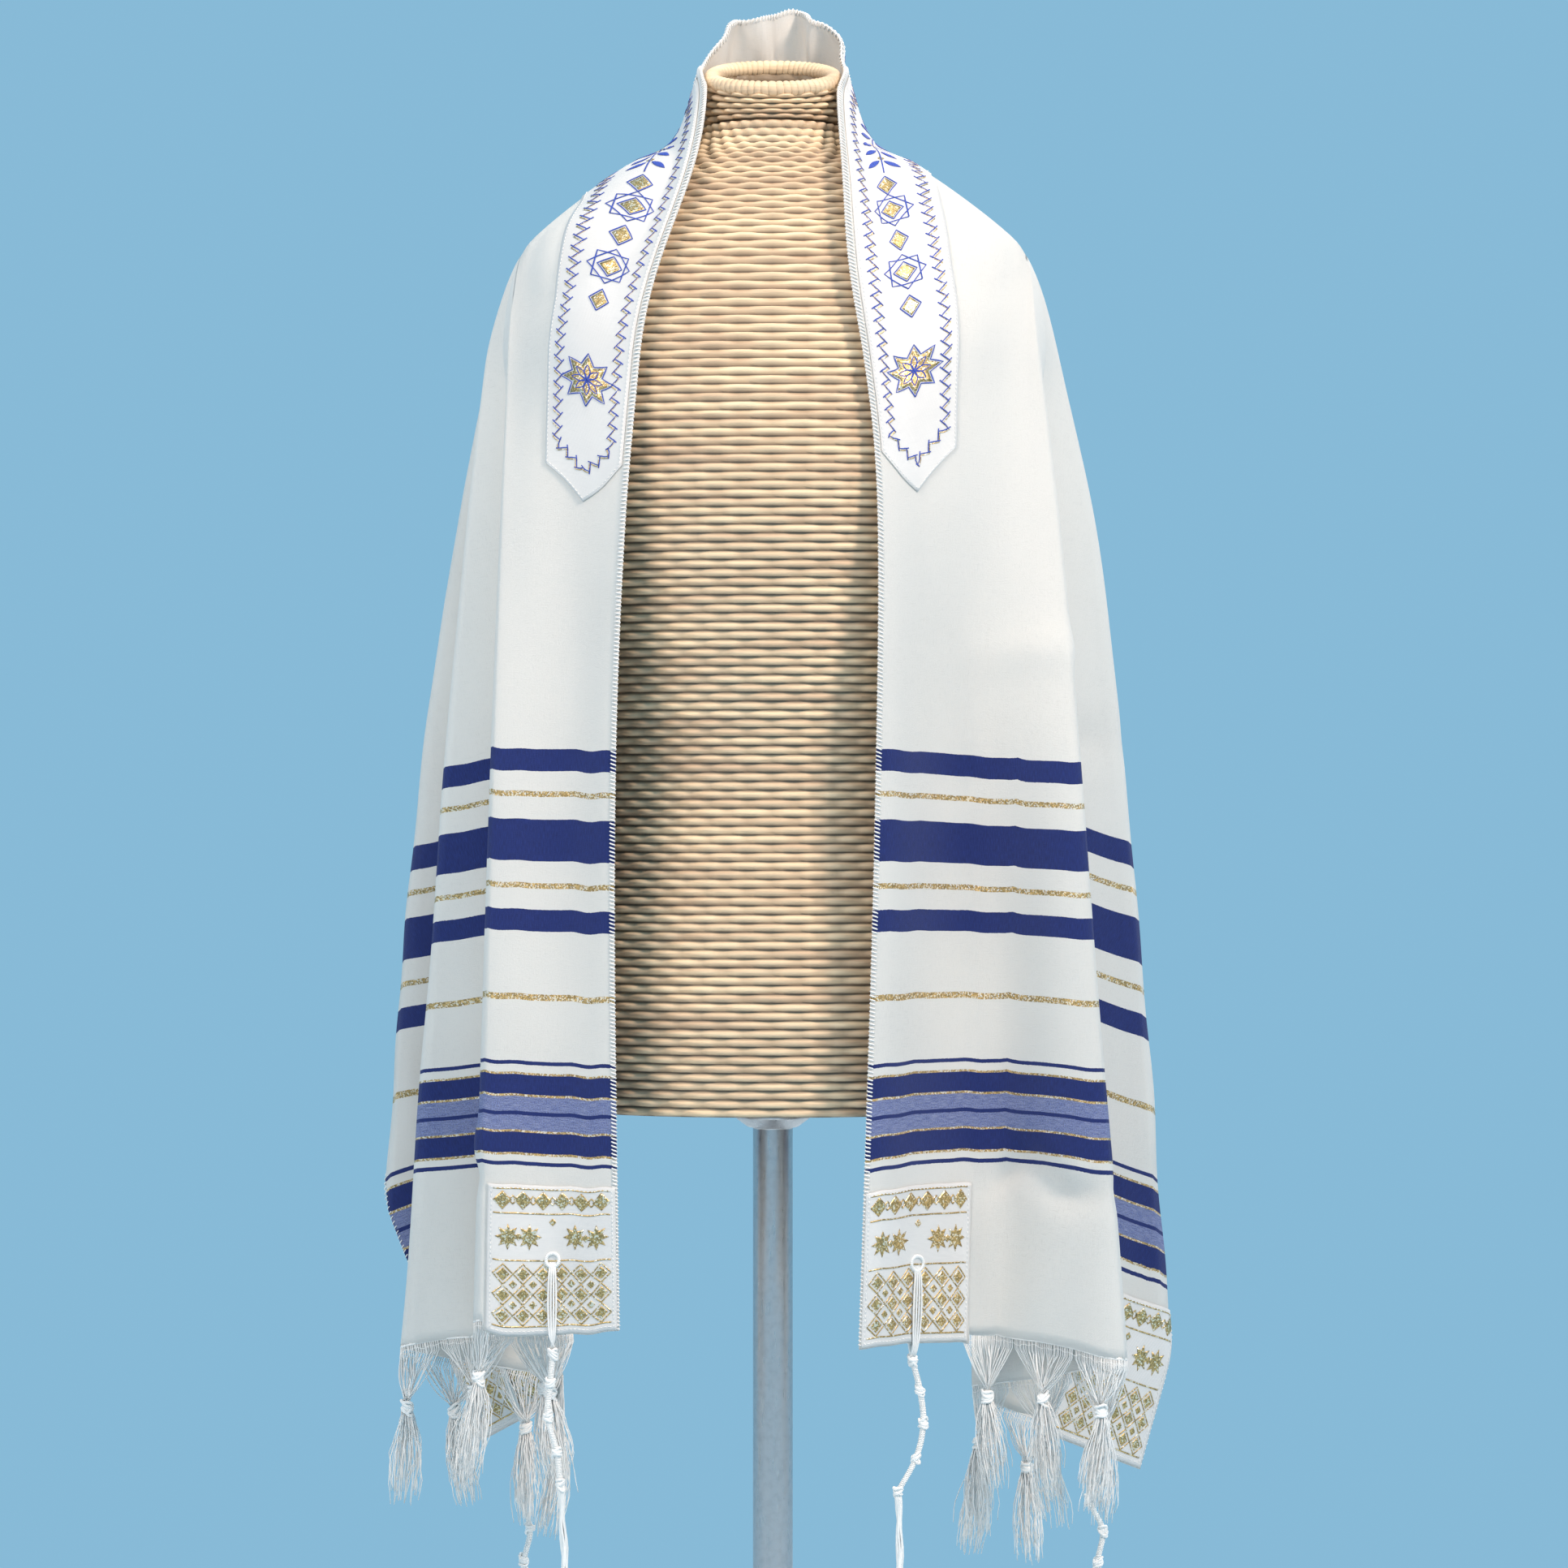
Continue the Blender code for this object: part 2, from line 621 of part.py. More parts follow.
def eyelet_place(sign, outer):
    across = SHAWL_WIDTH - EYELET_FROM_EDGE if outer else EYELET_FROM_EDGE
    return sign * (HALF_LENGTH - EYELET_FROM_HEM), across


def eyelet_cutter(name, sign, outer, cloth, collection):
    along, across = eyelet_place(sign, outer)
    centre = cloth.at(along, across)
    bm = bmesh.new()
    bmesh.ops.create_cone(
        bm, cap_ends=True, segments=12, radius1=EYELET_RADIUS, radius2=EYELET_RADIUS, depth=0.012
    )
    turn = cloth.outwards(along, across).to_track_quat("Z", "Y").to_matrix().to_4x4()
    bm.transform(Matrix.Translation(centre) @ turn)
    return cutter(f"eyelet_cutter_{name}", bm, collection)


# ---------------------------------------------------------------- fringe and corner cords


def grow_lock(bm, face, route, radius):
    """Extrudes one small face along a route of points into a tapering lock."""
    for number, centre in enumerate(route):
        made = bmesh.ops.extrude_discrete_faces(bm, faces=[face])
        face = made["faces"][0]
        middle = face.calc_center_median()
        size = max((v.co - middle).length for v in face.verts)
        taper = radius * (1 - 0.45 * number / len(route)) / size
        for vertex in face.verts:
            vertex.co = centre + (vertex.co - middle) * taper
    return face


def cap_faces(bm, top):
    faces = [f for f in bm.faces if len(f.verts) == 3 and (f.calc_center_median().z > 0) == top]
    bmesh.ops.inset_individual(bm, faces=faces, thickness=0.0005)
    return sorted(faces, key=lambda f: math.atan2(f.calc_center_median().y, f.calc_center_median().x))


def uncrossed(begins, ends):
    """The ends put in the order that joins them to the begins by the shortest lines."""

    def cost(order):
        return sum((begin - end).length for begin, end in zip(begins, order))

    return min(itertools.permutations(ends), key=cost)


def tassel(name, number, sign, cloth, collection):
    """A knot with locks fanned up to the hem and a bundle of locks below it."""
    across = FRINGE_FIRST + FRINGE_STEP * number
    hem = sign * HALF_LENGTH
    down = Vector((0, 0, -1))
    centre = cloth.at(hem, across) + down * (FRINGE_DROP + 0.003 * math.sin(2.3 * number + sign))
    bm = bmesh.new()
    bmesh.ops.create_uvsphere(bm, u_segments=6, v_segments=4, radius=1)
    bm.transform(Matrix.Diagonal((*FRINGE_KNOT, 1)))
    upper = cap_faces(bm, True)
    lower = cap_faces(bm, False)
    bm.transform(Matrix.Translation(centre))
    feet = []
    for i in range(len(upper)):
        place = across + FRINGE_FAN * (i / (len(upper) - 1) - 0.5)
        edge = cloth.at(hem, place)
        hanging = (edge - cloth.at(hem - sign * 0.01, place)).normalized()
        feet.append(edge + hanging * FRINGE_FOOT)
    begins = [face.calc_center_median() for face in upper]
    for face, begin, foot in zip(upper, begins, uncrossed(begins, feet)):
        route = [begin.lerp(foot, t) + down * 0.002 * math.sin(math.pi * t) for t in (0.5, 1)]
        grow_lock(bm, face, route, LOCK_RADIUS)
    sway = 0.006 * math.sin(1.7 * number + 0.9 * sign)
    for i, face in enumerate(lower):
        begin = face.calc_center_median()
        away = begin - centre
        away.z = 0
        length = FRINGE_TAIL * (1 + 0.10 * math.sin(2.6 * i + number))
        route = []
        for t in (0.35, 1):
            swell = away * (1 + 1.1 * math.sin(2.4 * t))
            route.append(centre + swell + down * (FRINGE_KNOT[2] + length * t) + Vector((sway * t, 0, 0)))
        grow_lock(bm, face, route, LOCK_RADIUS * 1.3)
    bmesh.ops.recalc_face_normals(bm, faces=bm.faces[:])
    return new_object(name, bm, collection, "wool")


def ring_tube(bm, centres, radii, sides):
    """A closed tube through rings on level planes round the centres."""
    rings = []
    for centre, radius in zip(centres, radii):
        ring = []
        for i in range(sides):
            turn = 2 * math.pi * i / sides
            ring.append(bm.verts.new(centre + radius * Vector((math.cos(turn), math.sin(turn), 0))))
        rings.append(ring)
    for upper, lower in zip(rings, rings[1:]):
        for i in range(sides):
            n = (i + 1) % sides
            bm.faces.new((upper[i], lower[i], lower[n], upper[n]))
    bm.faces.new(rings[0])
    return rings[-1]


def cord_loop(name, knot, sign, outer, cloth, helpers):
    """The strings from the first knot up the outside, through the eyelet and down behind."""
    along, across = eyelet_place(sign, outer)
    away = cloth.outwards(along, across)
    hem = sign * HALF_LENGTH
    hem_away = cloth.outwards(hem, across)
    hem_point = cloth.at(hem, across)
    over = CLOTH_WALL / 2 + PATCH_WALL + CORD_RADIUS + 2.5 * SEAM_GAP
    under = CLOTH_WALL / 2 + CORD_RADIUS + 2.5 * SEAM_GAP
    below = Vector((0, 0, -0.0015))
    turn_back = Vector((0, 0, -0.003))
    route = [
        knot + hem_away * CORD_RADIUS * 1.15,
        hem_point + hem_away * over + below,
        cloth.at(along, across, over) + turn_back,
        cloth.at(along, across, over * 0.8),
        cloth.at(along, across, -under * 0.8),
        cloth.at(along, across, -under) + turn_back,
        hem_point - hem_away * under + below,
        knot - hem_away * CORD_RADIUS * 1.15,
    ]
    return tube_mesh(f"{name}_loop", route, CORD_RADIUS, helpers)


def corner_cord(name, sign, outer, cloth, collection, helpers):
    """Strings doubled through the eyelet, five double knots below the hem, then eight free ends."""
    across = eyelet_place(sign, outer)[1]
    knot = cloth.at(sign * HALF_LENGTH, across) + Vector((0, 0, -0.011))
    loop = cord_loop(name, knot, sign, outer, cloth, helpers)
    downs = [-CORD_KNOT_RADIUS]
    radii = [CORD_RADIUS]
    for place in CORD_KNOTS:
        downs += [place - 0.0035 * (place > 0), place, place + 0.0045]
        radii += [CORD_RADIUS * (1.2 if place else 2.3), CORD_KNOT_RADIUS, CORD_RADIUS]
    downs = [downs[0], 0.0] + downs[3:]
    radii = [CORD_RADIUS * 1.6, CORD_KNOT_RADIUS] + radii[3:]
    centres = []
    for down in downs:
        sway = 0.0035 * math.sin(38 * down + across * 9)
        centres.append(knot + Vector((sway, 0.4 * sway, -down)))
    bm = bmesh.new()
    end_ring = ring_tube(bm, centres, radii, STRINGS)
    end = centres[-1]
    tip = bm.verts.new(end + Vector((0, 0, -0.0012)))
    caps = [bm.faces.new((end_ring[(i + 1) % STRINGS], end_ring[i], tip)) for i in range(STRINGS)]
    bm.normal_update()
    bmesh.ops.inset_individual(bm, faces=caps, thickness=0.00012)
    for i, face in enumerate(caps):
        length = CORD_TAIL * (1 + 0.06 * math.sin(3.1 * i + across * 7))
        heading = 2 * math.pi * i / STRINGS
        out = Vector((math.cos(heading), math.sin(heading), 0))
        route = []
        for t in (0.08, 0.5, 1):
            spread = 0.0030 + 0.0050 * t + 0.0008 * math.sin(5 * t + i)
            drift = Vector((0.004 * math.sin(3 * t + sign), 0, 0))
            route.append(end + out * spread + drift + Vector((0, 0, -length * t)))
        grow_lock(bm, face, route, LOCK_RADIUS * 0.7)
    bmesh.ops.recalc_face_normals(bm, faces=bm.faces[:])
    made = new_object(name, bm, collection, "wool")
    boolean(made, loop, "UNION")
    return made


def tube_mesh(name, route, radius, collection):
    """A tube along points as a closed mesh, kept as a helper for a Boolean."""
    curve = bpy.data.curves.new(name, "CURVE")
    curve.dimensions = "3D"
    curve.bevel_depth = radius
    curve.bevel_resolution = 0
    curve.use_fill_caps = True
    spline = curve.splines.new("POLY")
    spline.points.add(len(route) - 1)
    for point, place in zip(spline.points, route):
        point.co = (*place, 1)
    guide = bpy.data.objects.new(name, curve)
    collection.objects.link(guide)
    bpy.context.view_layer.update()
    evaluated = guide.evaluated_get(bpy.context.evaluated_depsgraph_get())
    mesh = bpy.data.meshes.new_from_object(evaluated)
    bpy.data.objects.remove(guide)
    bm = bmesh.new()
    bm.from_mesh(mesh)
    bpy.data.meshes.remove(mesh)
    bmesh.ops.remove_doubles(bm, verts=bm.verts[:], dist=1e-6)
    bmesh.ops.recalc_face_normals(bm, faces=bm.faces[:])
    return cutter(name, bm, collection)


# ---------------------------------------------------------------- the form and its stand


def oval(drop, half_width, front, back, sides=FORM_SIDES):
    """Points of a level squarish oval at a drop."""
    points = []
    for i in range(sides):
        turn = 2 * math.pi * i / sides
        power = 2 / FORM_SQUARENESS
        x = half_width * math.copysign(abs(math.cos(turn)) ** power, math.cos(turn))
        y = math.copysign(abs(math.sin(turn)) ** power, math.sin(turn))
        depth = back if y > 0 else front
        points.append(Vector((x, depth * y, TOP_HEIGHT - drop)))
    return points


def loft(bm, rings, cap_first, cap_last):
    """Joins rings of as many points each, and closes the ends that are asked for."""
    made = [[bm.verts.new(p) for p in ring] for ring in rings]
    for lower, upper in zip(made, made[1:]):
        for i in range(len(lower)):
            n = (i + 1) % len(lower)
            bm.faces.new((lower[i], lower[n], upper[n], upper[i]))
    if cap_first:
        bm.faces.new(made[0][::-1])
    if cap_last:
        bm.faces.new(made[-1])
    return made


def form_torso(collection):
    drops = [FORM_SECTIONS[0].drop]
    for lower, upper in zip(FORM_SECTIONS, FORM_SECTIONS[1:]):
        middle = [(lower.drop + upper.drop) / 2] if lower.drop - upper.drop > 0.04 else []
        drops += [*middle, upper.drop]
    bm = bmesh.new()
    loft(bm, [oval(drop, *form_section(drop)) for drop in drops], True, True)
    return new_object("form_torso", bm, collection, "rattan")


def tilted(points, drop):
    """The ring raised behind and lowered in front onto the rim's tilted plane."""
    return [Vector((p.x, p.y, TOP_HEIGHT - drop + p.y * math.tan(RIM_TILT))) for p in points]


def form_neck(collection):
    """An open tube: its inside is the well in the neck."""
    outer = oval(NECK_FOOT_DROP, NECK_HALF_WIDTH, NECK_HALF_DEPTH, NECK_HALF_DEPTH)
    inside = oval(
        NECK_FOOT_DROP, NECK_HALF_WIDTH - NECK_WALL, NECK_HALF_DEPTH - NECK_WALL, NECK_HALF_DEPTH - NECK_WALL
    )
    top = RIM_DROP + RIM_RADIUS + SEAM_GAP
    bm = bmesh.new()
    rings = loft(bm, [outer, tilted(outer, top), tilted(inside, top), inside], False, False)
    for i in range(FORM_SIDES):
        n = (i + 1) % FORM_SIDES
        bm.faces.new((rings[-1][i], rings[-1][n], rings[0][n], rings[0][i]))
    return new_object("form_neck", bm, collection, "rattan")


def form_neck_rim(collection):
    """The wrapped coil round the neck's mouth."""
    middle = NECK_WALL / 2
    path = tilted(
        oval(0, NECK_HALF_WIDTH - middle, NECK_HALF_DEPTH - middle, NECK_HALF_DEPTH - middle), RIM_DROP
    )
    bm = bmesh.new()
    rings = []
    up = Vector((0, -math.sin(RIM_TILT), math.cos(RIM_TILT)))
    for i, centre in enumerate(path):
        ahead = (path[(i + 1) % FORM_SIDES] - path[i - 1]).normalized()
        side = ahead.cross(up).normalized()
        ring = []
        for j in range(RIM_SIDES):
            turn = 2 * math.pi * (j + 0.5) / RIM_SIDES
            ring.append(bm.verts.new(centre + RIM_RADIUS * (side * math.cos(turn) + up * math.sin(turn))))
        rings.append(ring)
    for i in range(FORM_SIDES):
        here, there = rings[i], rings[(i + 1) % FORM_SIDES]
        for j in range(RIM_SIDES):
            n = (j + 1) % RIM_SIDES
            bm.faces.new((here[j], there[j], there[n], here[n]))
    bmesh.ops.recalc_face_normals(bm, faces=bm.faces[:])
    return new_object("form_neck_rim", bm, collection, "rattan")


def stand_pole(collection):
    top = TOP_HEIGHT - FORM_SECTIONS[0].drop - SEAM_GAP
    foot = BASE_CROWN + SEAM_GAP
    bm = bmesh.new()
    bmesh.ops.create_cone(
        bm, cap_ends=True, segments=20, radius1=POLE_RADIUS, radius2=POLE_RADIUS, depth=top - foot
    )
    made = new_object("stand_pole", bm, collection, "steel")
    made.location = (0, 0, (top + foot) / 2)
    return made


def stand_base(collection):
    """A low turned disc with a crowned top and a flat seat for the pole."""
    profile = (
        (0.0, BASE_CROWN),
        (POLE_RADIUS * 1.8, BASE_CROWN),
        (BASE_RADIUS * 0.55, BASE_CROWN - 0.004),
        (BASE_RADIUS - 0.004, BASE_EDGE + 0.002),
        (BASE_RADIUS, BASE_EDGE - 0.002),
        (BASE_RADIUS, 0.0015),
        (BASE_RADIUS - 0.0015, 0.0),
        (0.0, 0.0),
    )
    bm = bmesh.new()
    points = [bm.verts.new((x, 0, z)) for x, z in profile]
    for first, second in zip(points, points[1:]):
        bm.edges.new((first, second))
    made = new_object("stand_base", bm, collection, "iron")
    screw = made.modifiers.new("turn", "SCREW")
    screw.steps = 32
    screw.render_steps = 32
    screw.use_merge_vertices = True
    screw.merge_threshold = 0.0001
    screw.use_smooth_shade = True
    return made


def main():
    for old in list(bpy.data.objects):
        bpy.data.objects.remove(old, do_unlink=True)
    parts = bpy.data.collections.new("tallit_on_dress_form")
    helpers = bpy.data.collections.new("cutters_and_guides")
    for collection in (parts, helpers):
        bpy.context.scene.collection.children.link(collection)

    lattice = cloth_lattice()
    cloth = HungCloth(lattice)
    body = shawl_body(lattice, parts)
    neck_band(lattice, parts)
    for name, sign, outer in corners():
        patch = corner_patch(name, sign, outer, lattice, parts)
        hole = eyelet_cutter(name, sign, outer, cloth, helpers)
        boolean(patch, hole, "DIFFERENCE")
        boolean(body, hole, "DIFFERENCE")
        corner_cord(f"corner_cord_{name}", sign, outer, cloth, parts, helpers)
    for side in SIDES:
        for number in range(FRINGE_COUNT):
            tassel(f"fringe_{side.name}_{number + 1}", number, side.sign, cloth, parts)
    lattice.free()

    form_torso(parts)
    form_neck(parts)
    form_neck_rim(parts)
    stand_pole(parts)
    stand_base(parts)


if __name__ == "__main__":
    main()
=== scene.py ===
"""Looks of a tallit (prayer shawl) draped over a wicker dress form on a round stand.

Metres, +Z up. The front faces -Y, and the origin lies on the floor under the form's axis.
A flat place on the cloth is (along, across): along runs from the centre back (0) to a hem
(HALF_LENGTH, negative on the left half), across from the neck edge (0) to the outer edge.
A drop is a depth below the top of the standing neck edge.
"""

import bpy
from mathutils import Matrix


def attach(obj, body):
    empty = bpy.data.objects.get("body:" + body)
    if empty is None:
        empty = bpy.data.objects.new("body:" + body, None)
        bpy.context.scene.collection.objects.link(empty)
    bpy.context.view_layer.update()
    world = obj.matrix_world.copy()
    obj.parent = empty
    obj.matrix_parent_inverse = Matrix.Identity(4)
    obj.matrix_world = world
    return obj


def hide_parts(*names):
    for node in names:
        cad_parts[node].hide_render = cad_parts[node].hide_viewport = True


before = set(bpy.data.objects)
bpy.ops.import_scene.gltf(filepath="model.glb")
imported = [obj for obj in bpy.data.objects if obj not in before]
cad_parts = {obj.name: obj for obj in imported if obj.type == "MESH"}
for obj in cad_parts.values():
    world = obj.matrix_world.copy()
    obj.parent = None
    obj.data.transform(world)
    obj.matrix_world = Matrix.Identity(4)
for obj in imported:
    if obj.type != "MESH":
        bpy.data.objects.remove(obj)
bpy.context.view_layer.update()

import functools
import math
from collections import namedtuple

import bpy
import numpy as np

bl_info = {
    "name": "Tallit on a wicker dress form",
    "version": (1, 0, 0),
    "blender": (4, 5, 0),
    "location": "3D View > Sidebar > Tallit",
    "description": "Builds a draped prayer shawl with its trimmings, dress form, stand and stage",
    "category": "Add Mesh",
}

# ---- the shawl's sizes, as in the solids
TOP_HEIGHT = 1.450
SHAWL_WIDTH = 0.460
HALF_LENGTH = 0.915
FORM_CLEARANCE = 0.0043
BAND_EDGE = 0.004
BAND_WIDTH = 0.051
BAND_POINT = 0.022
PATCH_ACROSS = 0.084
PATCH_ALONG = 0.094
EYELET_FROM_EDGE = 0.042
EYELET_FROM_HEM = 0.047
EYELET_RADIUS = 0.0035

# ---- how the cloth lies on the shoulders
NECK_ALONG = 0.085
NECK_DEPTH = 0.055
SHOULDER_DEPTH = 0.005
RIDGE_ROUNDING = 0.020
CLEARING_STEPS = 8
# the collar stands free of the neck down to one drop and lies fully on the form from the other
COLLAR_FREE_DROP = 0.022
COLLAR_HELD_DROP = 0.056
# the collar's upper edge from left to right: how far it rises, in mm, fading out below it
Rise = namedtuple("Rise", "out height")
COLLAR_RISE = (
    Rise(-43, 0), Rise(-32, 3.2), Rise(-23, -4.4), Rise(0, -3.4),
    Rise(12, 0.2), Rise(22, -2.6), Rise(35, 0), Rise(44, 0),
)
COLLAR_RISE_DEPTH = 0.045
COLLAR_BACK_DEPTH = 0.020
# the ridge over the shoulder, from the neck to the shoulder tip
Ridge = namedtuple("Ridge", "share out drop")
RIDGE = (
    Ridge(0.00, 0.0450, 0.040),
    Ridge(0.30, 0.0640, 0.090),
    Ridge(0.47, 0.0900, 0.104),
    Ridge(0.86, 0.1500, 0.151),
    Ridge(1.00, 0.1580, 0.163),
)

# ---- how the cloth hangs: its plan at four drops, as a belt round rollers, in mm.
# out is the distance from the middle and back the distance behind the form's axis,
# both of a roller's centre. A belt turns round its rollers by turns inwards and outwards.
# angle, in degrees, is that of the fold's line at the shoulder tip, and spread how far its keys
# lie apart. slack is the length that the fold takes up, and bow how far the cloth swells from
# the straight before it.
DROPS = (0.235, 0.335, 0.495, 0.870)
Fold = namedtuple("Fold", "angle spread sense radius slack out back bow", defaults=[(0, 0, 0, 0)])
RIGHT_FRONT_EDGE = ((60.5, 64, 62.5, 51), (-105, -118, -121, -124))
RIGHT_FOLDS = (
    Fold(7.4, 0.9, 1, (4, 5, 6, 7), 0, (161.5, 171.5, 182.5, 209), (-45, -62, -92, -105), (-6, 8, 38, 50)),
    Fold(16.0, 0.9, -1, (4, 5, 6, 8), 8, (173, 160, 146, 124), (-22, -34, -44, -36)),
    Fold(30.2, 2.5, 1, (10, 10, 10, 9), 13, (171, 193, 212, 244), (2, 5, 8, 16), (0, 0, -3, -8)),
    Fold(53.0, 2.5, -1, (4, 6, 9, 9), 15, (168, 156, 118, 100), (34, 42, 64, 80)),
    Fold(71.0, 2.5, 1, (10, 10, 10, 9), 10, (146, 168, 194, 215), (56, 70, 86, 104)),
    Fold(80.0, 2.0, -1, (4, 5, 8, 8), 5, (140, 144, 144, 142), (79.8, 90, 110, 124)),
    Fold(87.0, 2.0, 1, (10, 10, 10, 9), 0, (118, 134, 158, 174), (82, 100, 127, 146)),
)
LEFT_FRONT_EDGE = ((81, 89, 95, 92), (-104, -118, -121, -124))
LEFT_FOLDS = (
    Fold(0.6, 0.6, 1, (4, 5, 6, 7), 0, (162, 162, 165, 174), (-40, -72, -102, -114), (-6, 2, 10, 8)),
    Fold(5.6, 0.9, -1, (4, 5, 6, 8), 0, (172, 158, 146, 126), (-26, -54, -78, -82)),
    Fold(13.9, 0.9, 1, (4, 5, 6, 7), 2, (176, 185, 197.5, 223.5), (-12, -32, -46, -60), (0, 0, 0, -6)),
    Fold(21.5, 1.1, -1, (4, 5, 6, 9), 14, (181, 176, 166, 131), (2, -12, -22, -22)),
    Fold(36.0, 2.5, 1, (10, 10, 10, 9), 36, (170, 189, 213, 244), (16, 14, 18, 24), (0, 0, 4, 12)),
    Fold(54.0, 2.5, -1, (4, 6, 9, 9), 20, (167, 156, 118, 100), (45.2, 50, 68, 84)),
    Fold(71.5, 2.5, 1, (10, 10, 10, 9), 10, (142, 168, 196, 215), (60, 74, 90, 108)),
    Fold(80.5, 2.0, -1, (4, 5, 8, 8), 5, (136.5, 142, 146, 144), (82, 93, 114, 128)),
    Fold(87.0, 2.0, 1, (10, 10, 10, 9), 0, (114, 132, 160, 176), (84, 104, 131, 150)),
)
BACK_MIDDLE = (112, 118, 121, 124)
BACK_BOW = (-4, -2, 10, 14)

# ---- how far the cloth has settled down its thread lines, in mm, at SETTLE_HEIGHTS above the hem
SETTLE_HEIGHTS = (0, 112, 210, 354, 604)
Settle = namedtuple("Settle", "key hem low middle high")
RIGHT_SETTLE = (
    Settle(-0.105, 4, 2.5, 2.5, 2),
    Settle(-0.088, -3, -5, -3.5, -3),
    Settle(-0.072, 0.5, -2.5, -0.5, 1.5),
    Settle(-0.056, 8, 3.5, 6.5, 8.5),
    Settle(-0.040, 10.5, 5, 8, 11),
    Settle(-0.025, 10, 3.5, 7, 10.5),
    Settle(-0.012, 12, 4.5, 8, 12),
    Settle(0.000, 16.5, 8.5, 12, 17),
    Settle(0.028, 18, 8.5, 13, 18.5),
    Settle(0.046, 20, 9, 13.5, 18.5),
    Settle(0.066, 23, 10.5, 14, 18.5),
    Settle(0.088, 22.5, 8.5, 11.5, 15.5),
    Settle(0.300, 9, 3.5, 12, 15.5),
    Settle(0.340, 1.5, -1.5, 8, 12.5),
    Settle(0.450, 0, 0, 0, 0),
    Settle(0.600, 0, 0, 0, 0),
)
LEFT_SETTLE = (
    Settle(-0.090, -2.5, 6.5, 9, 9),
    Settle(-0.075, -7, -0.5, 3, 2.5),
    Settle(-0.060, -3.5, 1.5, 4.5, 4),
    Settle(-0.045, 3.5, 7, 10, 9.5),
    Settle(-0.030, 4.5, 6.5, 10, 10),
    Settle(-0.015, 3.5, 4.5, 8, 8.5),
    Settle(0.000, 6.5, 11, 14.5, 15),
    Settle(0.012, 8.5, 10, 13.5, 13.5),
    Settle(0.030, 10, 9, 13, 16),
    Settle(0.055, 8, 5.5, 9.5, 13.5),
    Settle(0.080, 4, 1.5, 5.5, 10),
    Settle(0.105, 0, -3.5, 0.5, 4.5),
    Settle(0.130, -2.5, -5, 0.5, 6),
    Settle(0.155, -1, -6.5, 0, 6.5),
    Settle(0.354, 0, -2, 4, 26),
    Settle(0.400, 0, -5, -6, 20),
    Settle(0.500, 0, 0, 0, 0),
    Settle(0.650, 0, 0, 0, 0),
)
# fullness rounds the collar, lean turns the front edge outwards where it leaves the collar, and
# tuck draws it inwards again, most at tuck_at down the edge
Side = namedtuple(
    "Side",
    "name sign tip_across tip_along fullness lean tuck tuck_at band_length front_edge folds settle",
)
SIDES = (
    Side(
        "right", 1, 0.105, 0.226, 5.0, -0.20, 0.0085, 0.185, 0.3965,
        RIGHT_FRONT_EDGE, RIGHT_FOLDS, RIGHT_SETTLE,
    ),
    Side(
        "left", -1, 0.086, 0.232, 3.0, -0.10, 0.0075, 0.105, 0.4070,
        LEFT_FRONT_EDGE, LEFT_FOLDS, LEFT_SETTLE,
    ),
)
TUCK_LENGTH = 0.070
TUCK_WIDTH = 0.080

# ---- soft dents and swells of the cloth, in mm: where they lie on the flat cloth (on the side
# of that sign), their half length and half width, how far they lean and how high they stand
Dent = namedtuple("Dent", "sign above_hem across length width lean height")
DENTS = (
    Dent(1, 102, 108, 15, 5.2, 42, -6.4),
    Dent(1, 103, 129, 17, 5.4, -40, -6.0),
    Dent(1, 112, 118, 10, 7, 0, 2.4),
    Dent(1, 92, 158, 15, 5.5, 10, -4.2),
    Dent(1, 60, 96, 24, 7, 90, 2.4),
    Dent(1, 30, 130, 30, 12, 70, 2.4),
    Dent(1, 424, 116, 28, 7, 8, 2.6),
    Dent(1, 402, 212, 26, 7, 12, -4.2),
    Dent(1, 560, 60, 70, 14, 88, 2.0),
    Dent(1, 480, 34, 60, 10, 92, -1.8),
    Dent(-1, 104, 110, 15, 5.5, 26, -4.6),
    Dent(-1, 116, 96, 14, 9, -20, 2.8),
    Dent(-1, 40, 140, 34, 12, 80, 2.5),
    Dent(-1, 470, 60, 80, 12, 86, 2.2),
    Dent(-1, 600, 84, 70, 12, 94, -2.0),
    Dent(-1, 300, 250, 60, 14, 80, 2.6),
    Dent(1, 896, 14, 26, 4.5, -12, 8.5),
    Dent(1, 880, 18, 24, 5, 8, -7.6),
    Dent(1, 860, 12, 18, 5, 14, 5.1),
    Dent(-1, 907, 20, 26, 5, 10, -7.6),
    Dent(-1, 890, 12, 24, 5, -16, 7.6),
    Dent(-1, 866, 16, 18, 6, -6, -6.0),
)
RIPPLE_HEIGHT = 0.0010
RIPPLE_LENGTHS = (0.061, 0.097, 0.143)

# ---- how finely the cloth is cut
# for the hung table and for the cloth's grid: the step in the fan, as a share of a quarter turn,
# the step along straight edges in metres, and the number of keys at a fold
TABLE_STEPS = (0.004, 0.0035, 24)
GRID_STEPS = (0.013, 0.0042, 9)
# the cloth's grid: rows, how they crowd near the shoulders (a power) and near the hem (even shares
# and the shares of the length they stand for), columns of the shoulder and the collar, the least
# gap between two keys, more keys where the fan starts, and how far from the fringe's ends the two
# columns lie between which the hem steps back
CLOTH_ROWS = 100
ROW_POWER = 1.12
ROW_SHARES = ((0, 0.70, 1), (0, 0.76, 1))
SHOULDER_COLUMNS = 27
COLLAR_COLUMNS = 24
KEY_GAP = 0.002
EXTRA_KEYS = (0.004, 0.090, 0.005)
STEP_NEAR = 0.0004
STEP_FAR = 0.0006

